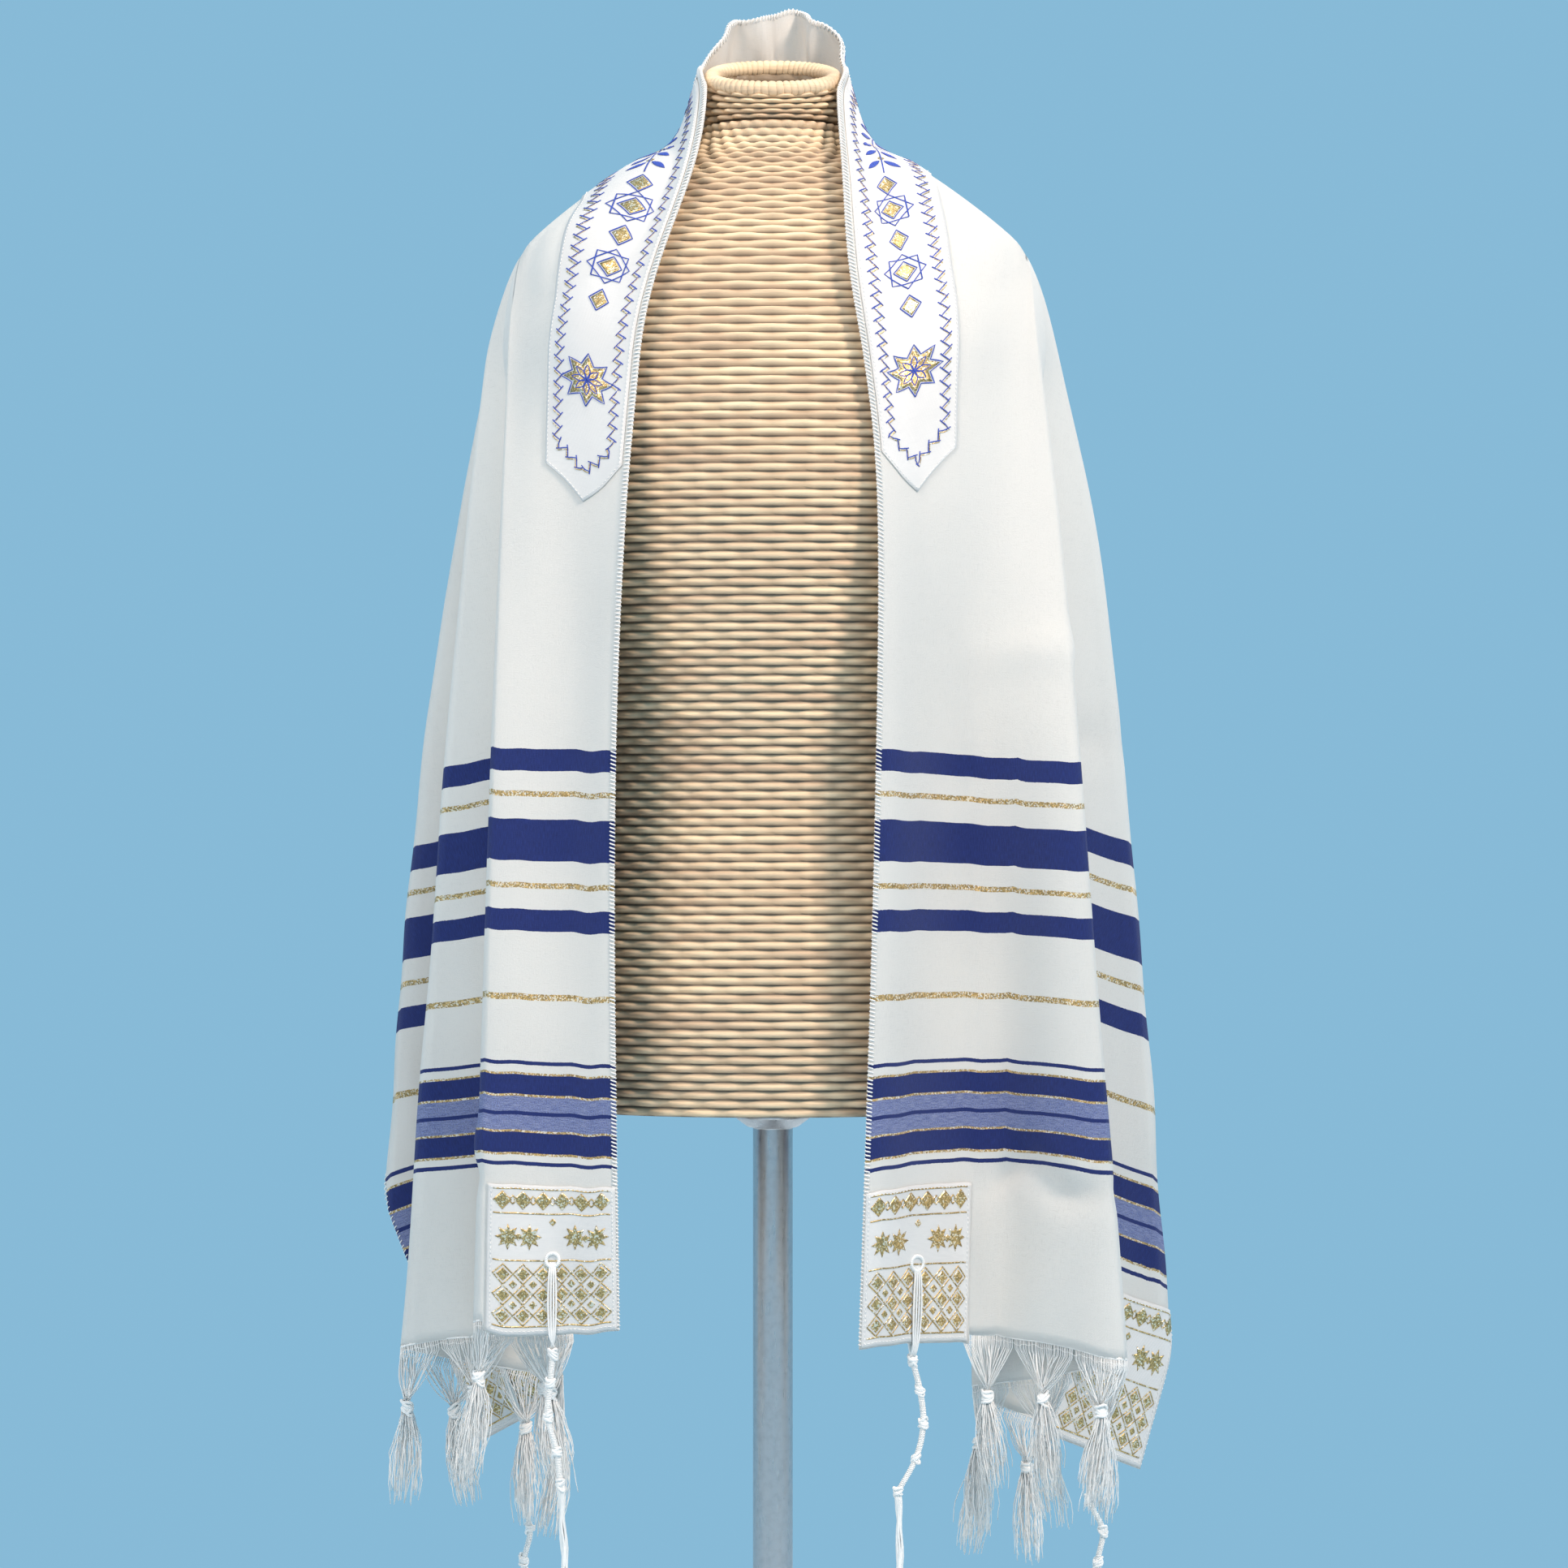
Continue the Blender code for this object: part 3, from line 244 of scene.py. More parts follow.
# ---- the stripes of woven colour: far and near edge in mm above the hem
BLUE_STRIPES = (
    (360.5, 347.3), (318.0, 292.7), (263.4, 250.2), (170.2, 167.8), (161.5, 149.3),
    (138.5, 136.1), (125.4, 112.7), (107.3, 104.9),
)
GOLD_STRIPES = (
    (335.1, 331.7), (279.5, 276.1), (212.2, 208.3), (162.9, 161.5), (149.3, 147.8),
    (126.8, 125.4), (112.7, 111.2),
)
CHAMBRAY_STRIPES = ((147.8, 138.5), (136.1, 126.8))

# ---- the form and its stand
Section = namedtuple("Section", "drop half_width front back")
FORM_SECTIONS = (
    Section(0.084, 0.0425, 0.0445, 0.045),
    Section(0.092, 0.047, 0.046, 0.047),
    Section(0.100, 0.056, 0.049, 0.051),
    Section(0.108, 0.072, 0.052, 0.055),
    Section(0.122, 0.098, 0.058, 0.063),
    Section(0.138, 0.119, 0.065, 0.071),
    Section(0.156, 0.142, 0.073, 0.079),
    Section(0.172, 0.152, 0.080, 0.086),
    Section(0.188, 0.157, 0.086, 0.091),
    Section(0.215, 0.158, 0.095, 0.098),
    Section(0.260, 0.155, 0.106, 0.103),
    Section(0.320, 0.146, 0.112, 0.103),
    Section(0.400, 0.131, 0.105, 0.096),
    Section(0.500, 0.117, 0.091, 0.084),
    Section(0.590, 0.129, 0.097, 0.094),
    Section(0.650, 0.135, 0.100, 0.099),
    Section(0.700, 0.131, 0.096, 0.094),
)
FORM_SQUARENESS = 2.2
NECK_HALF_WIDTH = 0.0415
NECK_HALF_DEPTH = 0.0440
NECK_WALL = 0.006
NECK_FOOT_DROP = 0.0837
RIM_DROP = 0.053
RIM_TILT = math.radians(17)
RIM_RADIUS = 0.0048
RIM_WRAPS = 64
CANE_ROW = 0.0054
NECK_ROWS = 5
# a weave's stakes round the form, the depth between its rows and how far a strand goes in and out
Weave = namedtuple("Weave", "stakes depth sway")
TORSO_WEAVE = Weave(64, 0.0026, 0.0014)
NECK_WEAVE = Weave(36, 0.0034, 0.0021)
NECK_LINING = Weave(36, 0.0018, 0.0010)
POLE_RADIUS = 0.0125
BASE_RADIUS = 0.165
BASE_EDGE = 0.010
BASE_CROWN = 0.022

# ---- the wound edging: its edge on the flat cloth, the way into the cloth, how far it reaches
# in, its thread's radius, its pitch as a share of the edging pitch and its points a turn
Edging = namedtuple("Edging", "name across inwards reach radius pitch steps")
EDGINGS = (
    Edging("neck_edge_stitching", 0.0, 1, 0.0036, 0.00050, 1, 7),
    Edging("outer_edge_stitching", SHAWL_WIDTH, -1, 0.0028, 0.00034, 1.25, 6),
)
EDGING_FROM_HEM = 0.001

# ---- satin and sewing
CLOTH_THREAD = 0.00062
SATIN_RIB = 0.00055
SATIN_GAP = 0.0003
PATTERN_GAP = 0.00012
PATTERN_WALL = 0.00014
BLUE_STROKE = 0.00064
GOLD_STROKE = 0.00060
PATCH_STROKE = 0.00085
Stitches = namedtuple("Stitches", "inset pitch")
BAND_STITCHES = Stitches(0.0014, 0.0026)
PATCH_STITCHES = Stitches(0.0032, 0.0027)
STITCH_RADIUS = 0.00022
STITCH_ARCH = (-0.0003, 0.00012, 0.0002, 0.00012, -0.0003)
ZIGZAG_PERIOD = 0.0080
ZIGZAG_HEIGHT = 0.0021
BORDER_INSET = 0.0078
BORDER_FROM_TIP = 0.008
ROSETTE_FROM_END = 0.074
ROSETTE_POINTS = 8
STARS = (0.259, 0.215)
LOZENGES = (0.282, 0.237, 0.196)
LEAVES = np.arange(0.012, 0.182, 0.0125)
STEM = ((0.004, 0), (0.186, 0))
STEM_GAP = 0.0012
TRELLIS_ACROSS = 0.0125
TRELLIS_ALONG = 0.0127
BAND_GRID = (236, 27)
PATCH_GRID = (44, 40)

# ---- fringe and corner cords
FRINGE_COUNT = 8
FRINGE_FIRST = 0.0985
FRINGE_STEP = 0.0375
FRINGE_DROP = 0.029
FRINGE_FAN = 0.0355
FRINGE_TAIL = 0.052
TAIL_STEPS = 10
LAST_PICK_RADIUS = 0.00062
LOOSE_PICK_RADIUS = 0.00020
LOOSE_PICK_WANDER = 0.0005
# a knot's size and its thread's radius
Knot = namedtuple("Knot", "size radius")
TASSEL_KNOT = Knot(0.0035, 0.00095)
CORD_KNOT = Knot(0.0027, 0.00092)
CORD_KNOT_DROP = 0.011
CORD_TAIL = 0.185
CORD_STRINGS = 4
WOUND_RADIUS = 0.00125
COIL_RADIUS = 0.00150
COIL_PITCH = 0.00105
COIL_THREAD = 0.00052
STRING_RADIUS = 0.00075
STRING_STEPS = 34
FLAT_STRING_RADIUS = 0.00088
FLAT_STRING_GAP = 0.00150
Chain = namedtuple("Chain", "sign outer out down")
CORD_CHAINS = (
    Chain(1, False, (0, 4.5, 6.5, 2.0, -9.0), (0, 18, 38, 59, 79)),
    Chain(-1, False, (0, -1.5, -3.0, 2.5, 4.5), (0, 18, 38, 60, 79)),
    Chain(1, True, (0, -3.5, 5.0, 2.0, 6.0), (0, 18, 38, 58, 78)),
    Chain(-1, True, (0, 3.0, -2.0, 4.0, 0.0), (0, 18, 38, 58, 78)),
)
SEED = 18
# straight down, and a direction that no hanging thread takes
DOWN = np.array([0.0, 0, -1])
LEAN = (0.1, 1, 0)

# ---- the stage: an area light's place and aim in metres, its sides, watts and colour
Light = namedtuple("Light", "name place aim size power colour")
LIGHTS = (
    Light("key", (1.6, -1.6, 2.75), (0, 0, 1.15), (0.5, 0.6), 62, (1.0, 0.80, 0.66)),
    Light("fill", (-1.5, -1.9, 2.5), (0, 0, 1.15), (1.2, 1.4), 42, (1.0, 0.78, 0.62)),
    Light("top", (0.1, -0.2, 3.4), (0, 0, 1.0), (1.6, 1.6), 22, (1.0, 0.86, 0.74)),
    Light("behind", (0.6, 2.8, 2.0), (0, 0, 1.0), (2.0, 2.0), 62, (1.0, 0.80, 0.66)),
)
SURROUND_COLOUR = (0.30, 0.60, 0.83, 1)
SURROUND_STRENGTH = 0.82
FLOOR_RINGS = (0.0, 0.4, 1.2, 2.4)
FLOOR_SIDES = 96
FLOOR_DROP = 0.0005
FRAME_PIXELS = 1932
FOCAL_PIXELS = 5880
SENSOR_WIDTH = 36
CAMERA_PLACE = (0.007, -3.0, TOP_HEIGHT - 0.4965)


# ---------------------------------------------------------------- settings


def size_property(name, description, default, low, high):
    return bpy.props.FloatProperty(
        name=name, description=description, default=default, min=low, max=high, unit="LENGTH"
    )


def count_property(name, description, default, low, high):
    return bpy.props.IntProperty(name=name, description=description, default=default, min=low, max=high)


def colour_property(name, description, default):
    return bpy.props.FloatVectorProperty(
        name=name, description=description, default=default, subtype="COLOR", size=3, min=0, max=1
    )


class TallitSettings(bpy.types.PropertyGroup):
    """Sizes and colours of the shawl that a user would change."""

    cloth_wall: size_property("Cloth wall", "Thickness of the woven cloth", 0.0011, 0.0005, 0.002)
    patch_wall: size_property("Satin wall", "Thickness of the band and patches", 0.0007, 0.0003, 0.001)
    open_band: size_property("Open band", "Depth of the unwoven strip at the hem", 0.0055, 0.002, 0.012)
    stitch_pitch: size_property("Edging pitch", "Length of one turn of the edging", 0.0024, 0.001, 0.005)
    thread_radius: size_property("Thread radius", "Radius of a fringe thread", 0.0004, 0.0001, 0.0006)
    fan_threads: count_property("Fan threads", "Threads between the hem and one tassel's knot", 34, 8, 60)
    tail_threads: count_property("Tail threads", "Threads below one tassel's knot", 58, 8, 90)
    cloth_colour: colour_property("Cloth", "Colour of the undyed wool", (0.83, 0.81, 0.765))
    blue_colour: colour_property("Royal blue", "Colour of the blue stripes", (0.0065, 0.0185, 0.122))
    chambray_colour: colour_property("Chambray", "Mean colour of the blended stripes", (0.150, 0.186, 0.385))
    gold_colour: colour_property("Metallic yarn", "Colour of the metallic yarn", (0.64, 0.45, 0.19))
    satin_colour: colour_property("Satin", "Colour of the satin", (0.74, 0.725, 0.705))
    thread_colour: colour_property("Thread", "Colour of fringe, cords and sewing thread", (0.93, 0.92, 0.895))
    cane_colour: colour_property("Cane", "Colour of the dress form's woven cane", (0.86, 0.61, 0.395))
    floor_colour: colour_property("Floor", "Colour of the floor", (0.62, 0.70, 0.74))


def settings():
    return bpy.context.scene.tallit


# ---------------------------------------------------------------- curves and meshes


def cubic_shares(t):
    """Shares of a cubic's first place and slope and its last place and slope, at t from 0 to 1."""
    keep = 2 * t**3 - 3 * t**2 + 1
    return keep, t**3 - 2 * t**2 + t, 1 - keep, t**3 - t**2


def smooth_curve(at, knots, values):
    """A cubic through (knots, values) with mean slopes at the knots, straight beyond both ends."""
    at = np.asarray(at, float)
    knots = np.asarray(knots, float)
    values = np.asarray(values, float)
    wide = (1,) * (values.ndim - 1)
    steps = np.diff(values, axis=0) / np.diff(knots).reshape((-1, *wide))
    slopes = np.concatenate([steps[:1], (steps[1:] + steps[:-1]) / 2, steps[-1:]])
    i = np.clip(np.searchsorted(knots, at) - 1, 0, len(knots) - 2)
    width = (knots[i + 1] - knots[i]).reshape(at.shape + wide)
    t = (at - knots[i]).reshape(at.shape + wide) / width
    inside = np.clip(t, 0, 1)
    first, lead, last, trail = cubic_shares(inside)
    places = first * values[i] + last * values[i + 1]
    slants = lead * slopes[i] + trail * slopes[i + 1]
    beyond = (t - inside) * np.where(t > 1, slopes[i + 1], slopes[i])
    return places + (slants + beyond) * width


def unit(vectors):
    return vectors / np.maximum(np.linalg.norm(vectors, axis=-1, keepdims=True), 1e-12)


def even_turns(count):
    """count even angles round one turn."""
    return 2 * np.pi * np.arange(count) / count


def circle(angles):
    """Points on the unit circle."""
    return np.stack([np.cos(angles), np.sin(angles)], axis=-1)


def lengths_along(path):
    """Distance gone along a path, or along several side by side, at each of its points."""
    steps = np.linalg.norm(np.diff(path, axis=0), axis=-1)
    return np.concatenate([np.zeros((1, *steps.shape[1:])), np.cumsum(steps, axis=0)])


def resampled(path, count):
    """count points at even distances along a path of points."""
    lengths = lengths_along(path)
    at = np.linspace(0, lengths[-1], count)
    return np.stack([np.interp(at, lengths, path[:, i]) for i in range(path.shape[1])], axis=1)


def grid_faces(rows, columns, ring=False):
    """Quads of a grid whose point (row, column) is number row * columns + column."""
    across = columns if ring else columns - 1
    r, c = np.meshgrid(np.arange(rows - 1), np.arange(across), indexing="ij")
    here, following = r * columns, (r + 1) * columns
    n = (c + 1) % columns
    quads = np.stack([here + c, following + c, following + n, here + n], axis=-1)
    return quads.reshape(-1, 4)


def facing_out(flats, quads):
    """Quads wound so that their area on the flat cloth is positive, which faces them outwards."""
    one, two = flats[quads[:, 2]] - flats[quads[:, 0]], flats[quads[:, 3]] - flats[quads[:, 1]]
    turned = one[:, 0] * two[:, 1] < one[:, 1] * two[:, 0]
    return np.where(turned[:, None], quads[:, ::-1], quads)


def welded(keys, faces):
    """(first vertex of each place, quads, triangles): one vertex for each key, and quads with a
    doubled corner become triangles."""
    _, first, index = np.unique(np.round(keys, 6), axis=0, return_index=True, return_inverse=True)
    faces = index.reshape(-1)[faces]
    following = np.roll(faces, -1, axis=1)
    doubled = faces == following
    quads = faces[~doubled.any(axis=1)]
    odd = doubled.sum(axis=1) == 1
    keep = ~doubled[odd]
    triangles = faces[odd][keep].reshape(-1, 3)
    return first, quads, triangles


def fill_mesh(mesh, points, quads, triangles):
    counts = np.concatenate([np.full(len(quads), 4), np.full(len(triangles), 3)])
    corners = np.concatenate([quads.ravel(), triangles.ravel()]).astype(np.int32)
    starts = np.concatenate([[0], np.cumsum(counts)[:-1]]).astype(np.int32)
    mesh.vertices.add(len(points))
    mesh.vertices.foreach_set("co", points.astype(np.float32).ravel())
    mesh.loops.add(len(corners))
    mesh.loops.foreach_set("vertex_index", corners)
    mesh.polygons.add(len(counts))
    mesh.polygons.foreach_set("loop_start", starts)
    mesh.update(calc_edges=True)
    mesh.validate()
    mesh.shade_smooth()
    return corners


def added(name, data):
    """A new object of the data, in the scene."""
    made = bpy.data.objects.new(name, data)
    bpy.context.scene.collection.objects.link(made)
    return made


def new_piece(name, points, quads, material, slot, replaces=(), flats=None, hollow=None):
    """A welded mesh piece that rides on the one body. Its flats become its UV map, in metres, and its painted
    shade, 0 to 1, an attribute that darkens the material."""
    mesh = bpy.data.meshes.new(name)
    first, quads, triangles = welded(points if flats is None else flats, quads)
    corners = fill_mesh(mesh, points[first], quads, triangles)
    if flats is not None:
        layer = mesh.uv_layers.new(name="flat")
        layer.data.foreach_set("uv", flats[first][corners].astype(np.float32).ravel())
    if hollow is not None:
        layer = mesh.attributes.new("hollow", "FLOAT", "POINT")
        layer.data.foreach_set("value", hollow.ravel()[first].astype(np.float32))
    mesh.materials.append(material)
    made = added(name, mesh)
    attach(made, "root")
    if replaces:
        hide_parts(*replaces)
    return made


def wall(made, thickness, offset):
    shell = made.modifiers.new("wall", "SOLIDIFY")
    shell.thickness = thickness
    shell.offset = offset
    return made


def joined(parts):
    """Parts of (points, quads) as one."""
    points, quads, count = [], [], 0
    for part_points, part_quads in parts:
        points.append(part_points)
        quads.append(part_quads + count)
        count += len(part_points)
    return np.concatenate(points), np.concatenate(quads)


def tubes(paths, radii, sides, lean, flatten=1.0):
    """Tubes along paths (many, points, 3). Round each point goes a ring of radius radii, squashed by
    flatten along its second axis; lean is any direction that the paths never take. Both ends close."""
    paths = np.asarray(paths, float)
    many, count = paths.shape[:2]
    radii = np.broadcast_to(np.asarray(radii, float), (many, count))
    ahead = unit(np.gradient(paths, axis=1))
    side = unit(np.cross(ahead, np.broadcast_to(lean, paths.shape)))
    over = np.cross(side, ahead)
    wide, high = (circle(even_turns(sides)) * (1, flatten)).T[..., None]
    points = paths[:, :, None] + radii[..., None, None] * (wide * side[:, :, None] + high * over[:, :, None])
    ends = np.repeat(paths[:, [0, -1], None], sides, axis=2)
    points = np.concatenate([ends[:, :1], points, ends[:, 1:]], axis=1)
    one = grid_faces(count + 2, sides, ring=True)
    quads = one[None] + (np.arange(many) * (count + 2) * sides)[:, None, None]
    return points.reshape(-1, 3), quads.reshape(-1, 4)


def closed_tubes(path, radius, sides, up):
    """One tube round a closed path; radius may differ from point to point and round the ring."""
    ahead = unit(np.roll(path, -1, axis=0) - np.roll(path, 1, axis=0))
    side = unit(np.cross(ahead, up))
    over = np.cross(side, ahead)
    wide, high = circle(even_turns(sides)).T[..., None]
    ring = wide * side[:, None] + high * over[:, None]
    size = np.broadcast_to(radius, (len(path), sides))
    points = path[:, None] + size[..., None] * ring
    quads = grid_faces(len(path) + 1, sides, ring=True) % (len(path) * sides)
    return points.reshape(-1, 3), quads


# ---------------------------------------------------------------- the form's surface


def form_section(drop):
    """(half width, front depth, back depth) of the torso at drops."""
    drop = np.clip(drop, FORM_SECTIONS[0].drop, FORM_SECTIONS[-1].drop)
    return smooth_curve(drop, [s.drop for s in FORM_SECTIONS], [s[1:] for s in FORM_SECTIONS])


def form_reach(points):
    """How many times the torso's own size a point lies out, minus one: a squarish oval's formula."""
    sizes = form_section(TOP_HEIGHT - points[..., 2])
    depth = np.where(points[..., 1] < 0, sizes[..., 1], sizes[..., 2])
    power = FORM_SQUARENESS
    out = np.abs(points[..., 0] / sizes[..., 0]) ** power + np.abs(points[..., 1] / depth) ** power
    return out ** (1 / power) - 1


def clear_of_form(points, clearance):
    """Points moved out of the torso, down its reach's slope, until they lie at least the clearance off."""
    step = 1e-4
    drop = TOP_HEIGHT - points[..., 2]
    held = np.clip((drop - COLLAR_FREE_DROP) / (COLLAR_HELD_DROP - COLLAR_FREE_DROP), 0, 1)
    share = (1 - (1 - held) ** (1 / CLEARING_STEPS))[..., None]
    share = np.where(held[..., None] >= 1, 1, share)
    for _ in range(CLEARING_STEPS):
        here = form_reach(points)
        slope = np.stack([form_reach(points + step * axis) - here for axis in np.eye(3)], axis=-1) / step
        steepness = np.linalg.norm(slope, axis=-1) + 1e-9
        short = np.maximum(clearance - here / steepness, 0)
        points = points + (short / steepness)[..., None] * slope * share
    return points


def oval(drop, half_width, front, back, turns):
    """Points of level squarish ovals: signed powers of the turn's cosine and sine."""
    power = 2 / FORM_SQUARENESS
    x = half_width * np.sign(np.cos(turns)) * np.abs(np.cos(turns)) ** power
    y = np.sign(np.sin(turns)) * np.abs(np.sin(turns)) ** power
    y = y * np.where(y > 0, back, front)
    return np.stack(np.broadcast_arrays(x, y, TOP_HEIGHT - drop), axis=-1)


# ---------------------------------------------------------------- the drape


class HungHalf:
    """Half of the shawl as it hangs, as a table of places in space and directions outwards.
    A key names one thread line that runs down the cloth: below 0 a line of the front, its
    distance from the shoulder tip's line across, from 0 to 1 a ray from the shoulder tip, as a
    share of the quarter turn to the back, above 1 a line of the back, 1 plus its distance from
    the shoulder tip's line along."""

    STEP = 0.003
    STEPS = 285
    UPPER_STEPS = 44
    LOWER_STEPS = 120
    FALL_END = 1.06
    FALL_STEP = 0.01
    SLACK_REACH = 0.25
    STEADY_REACH = 0.009

    def __init__(self, side):
        self.side = side
        self.first_key = -side.tip_across
        self.last_key = 1 + side.tip_along
        self.neck_key = 1 + side.tip_along - NECK_ALONG
        self.fold_keys = np.array([fold.angle / 90 for fold in side.folds])
        self.corner_angle = math.atan2(SHAWL_WIDTH - side.tip_across, HALF_LENGTH - side.tip_along)
        self.anchors = np.array([self.first_key, *self.fold_keys, self.last_key])
        self.keys = self.fine_keys(*TABLE_STEPS)
        self.distances = np.arange(-2, self.STEPS) * self.STEP
        self.places = self.table()
        self.outs = self.outwards(self.places)
        self.places = self.places + self.outs * self.relief()[..., None]
        self.outs = self.outwards(self.places)

    def fine_keys(self, fan_step, line_step, fold_steps):
        """Keys across the half, closer together at each fold."""
        front = np.linspace(self.first_key, 0, int(self.side.tip_across / line_step))
        fan = np.arange(0, 1, fan_step)
        back = np.linspace(1, self.neck_key, int((self.neck_key - 1) / line_step))
        collar = np.linspace(self.neck_key, self.last_key, int(NECK_ALONG / line_step))
        spreads = np.array([fold.spread for fold in self.side.folds]) / 90
        near = (self.fold_keys[:, None] + spreads[:, None] * np.linspace(-2, 2, fold_steps)).ravel()
        keys = np.unique(np.round(np.concatenate([front, fan, back, collar, near[near < 1]]), 6))
        return keys[np.concatenate([[True], np.diff(keys) > 1e-5])]

    def run(self, keys, reach):
        """The cloth's length along a level, up to a key, where the rays are reach long."""
        fan = reach * math.pi / 2 * np.clip(keys, 0, 1)
        return np.minimum(keys, 0) + fan + np.maximum(keys - 1, 0)

    def belts(self, keys, drops):
        """Plan places (drops, keys, 2): the belt goes straight from roller to roller and round
        each, and the keys between two folds share its length evenly."""
        folds = self.side.folds
        edge = [smooth_curve(drops, DROPS, row) for row in self.side.front_edge]
        rows = {
            name: np.stack([smooth_curve(drops, DROPS, getattr(f, name)) for f in folds], axis=1)
            for name in ("out", "back", "radius", "bow")
        }
        middle = smooth_curve(drops, DROPS, BACK_MIDDLE)
        out = np.column_stack([edge[0], rows["out"], 0 * middle])
        back = np.column_stack([edge[1], rows["back"], middle])
        centres = 0.001 * np.stack([out, back], axis=-1)
        none = np.zeros((len(drops), 1))
        radii = np.hstack([none, np.maximum(0.001 * rows["radius"], 0.003), none])
        bows = 0.001 * np.column_stack([none, rows["bow"], smooth_curve(drops, DROPS, BACK_BOW)])
        senses = np.array([1, *(f.sense for f in folds), 1])
        across = np.diff(centres, axis=1)
        gap = np.linalg.norm(across, axis=2)
        tilt = np.arcsin(np.clip(np.diff(senses * radii, axis=1) / gap, -0.999, 0.999))
        headings = np.arctan2(across[..., 1], across[..., 0]) - tilt
        turns = np.mod(np.diff(headings, axis=1) * senses[1:-1], 2 * math.pi)
        half_turns = np.hstack([none, np.where(turns > 1.5 * math.pi, 0, turns / 2), none])
        arcs = half_turns * radii

        def rim(i, heading):
            return centres[:, i] - (senses[i] * radii[:, i])[..., None] * circle(heading + math.pi / 2)

        reach = np.maximum(drops - RIDGE[-1].drop, 0.03)[:, None]
        span = np.clip(np.searchsorted(self.anchors, keys) - 1, 0, len(self.anchors) - 2)
        runs = self.run(self.anchors, reach)
        share = (self.run(keys, reach) - runs[:, span]) / (runs[:, span + 1] - runs[:, span])
        heading = headings[:, span]
        leave = rim(span, heading)
        enter = rim(span + 1, heading)
        straight = np.linalg.norm(enter - leave, axis=2)
        at = share * (arcs[:, span] + straight + arcs[:, span + 1]) - arcs[:, span]
        first_turn = senses[span] * at / np.maximum(radii[:, span], 1e-9)
        last_turn = senses[span + 1] * (at - straight) / np.maximum(radii[:, span + 1], 1e-9)
        inside = np.clip(at / straight, 0, 1)[..., None]
        swell = bows[:, span + 1][..., None] * np.sin(math.pi * inside) ** 2
        found = leave + (enter - leave) * inside + swell * circle(heading + math.pi / 2)
        on_first = ((at < 0) & (arcs[:, span] > 0))[..., None]
        on_last = ((at > straight) & (arcs[:, span + 1] > 0))[..., None]
        found = np.where(on_first, rim(span, heading + np.where(at < 0, first_turn, 0)), found)
        return np.where(on_last, rim(span + 1, heading + np.where(at > straight, last_turn, 0)), found)

    def ridge_share(self, keys):
        """Where a thread line leaves the ridge from the neck to the shoulder tip, 0 to 1."""
        behind = 1 - np.clip((keys - 1) / (self.side.tip_along - NECK_ALONG), 0, 1)
        return np.where(keys <= 0, 1 + keys / self.side.tip_across, behind)

    def starts(self, keys):
        """Where thread lines start, the directions they start in, and the rounding of the ridge:
        half the sum of the directions to its two sides."""
        share = self.ridge_share(keys)
        out, drop = smooth_curve(share, [r.share for r in RIDGE], [r[1:] for r in RIDGE]).T
        places = np.stack([out, np.full_like(out, SHOULDER_DEPTH), TOP_HEIGHT - drop], axis=1)
        # each direction goes from the neck's to the shoulder tip's
        s = share[:, None]
        lean = self.side.lean
        front = np.array([lean, -0.90, -0.45]) + s * np.array([0.10 - lean, 0, 0.30])
        back = np.array([0.10, 0.50, -0.85]) + s * np.array([0, 0.40, 0.70])
        from_neck = np.maximum(keys - self.neck_key, 0)
        turn = 0.5 * math.pi * (1 - from_neck / NECK_ALONG)
        round_neck = np.where(from_neck > 0, np.sin(turn), 1)
        collar = np.stack(
            [
                RIDGE[0].out * round_neck,
                SHOULDER_DEPTH + NECK_DEPTH * np.cos(turn),
                TOP_HEIGHT - RIDGE[0].drop * round_neck**self.side.fullness,
            ],
            axis=1,
        )
        on_collar = (from_neck > 0)[:, None]
        places = np.where(on_collar, collar, places)
        middle = np.array([0.0, 0.10, -1.0])
        back = np.where(on_collar, middle + (back - middle) * round_neck[:, None] ** 3, back)
        blend = np.cos(math.pi * np.clip(keys, 0, 1))[:, None]
        side = np.array([0.50, 0.0, -0.85])
        ends = np.where(blend > 0, front, back)
        directions = side + (ends - side) * np.abs(blend)
        rounding = (unit(front) + unit(back)) / 2 * round_neck[:, None] ** 4
        return places, directions, rounding

    def table(self):
        """Places (keys, distances, 3): each line leaves the ridge on a cubic to the highest belt,
        falls from belt to belt, is moved clear of the form and is read at even distances."""
        keys = self.keys
        drops = np.linspace(DROPS[0], self.FALL_END, self.LOWER_STEPS + 1)
        belts = self.belts(keys, drops)
        near = self.belts(keys, drops[:1] + self.FALL_STEP)[0]
        begins, directions, rounding = self.starts(keys)
        ends = np.column_stack([belts[0], np.full(len(keys), TOP_HEIGHT - DROPS[0])])
        falls = np.column_stack([near - belts[0], np.full(len(keys), -self.FALL_STEP)])
        lengths = np.linalg.norm(ends - begins, axis=1, keepdims=True)
        directions = unit(directions) * lengths
        falls = unit(falls) * lengths
        first, lead, last, trail = cubic_shares(np.linspace(0, 1, self.UPPER_STEPS + 1)[:, None, None])
        upper = first * begins + lead * directions + last * ends + trail * falls
        heights = np.broadcast_to((TOP_HEIGHT - drops[1:])[:, None, None], (len(drops) - 1, len(keys), 1))
        lines = np.concatenate([upper, np.concatenate([belts[1:], heights], axis=2)])
        fallen = lengths_along(lines)
        left = np.clip(1 - fallen / RIDGE_ROUNDING, 0, 1)[..., None]
        lines = lines + 0.5 * RIDGE_ROUNDING * left**2 * rounding
        near_edge = np.clip(1 - (keys - self.first_key) / TUCK_WIDTH, 0, 1) ** 2
        bell = np.exp(-(((fallen - self.side.tuck_at) / TUCK_LENGTH) ** 2))
        lines[..., 0] -= self.side.tuck * bell * near_edge
        lines = clear_of_form(lines, FORM_CLEARANCE)
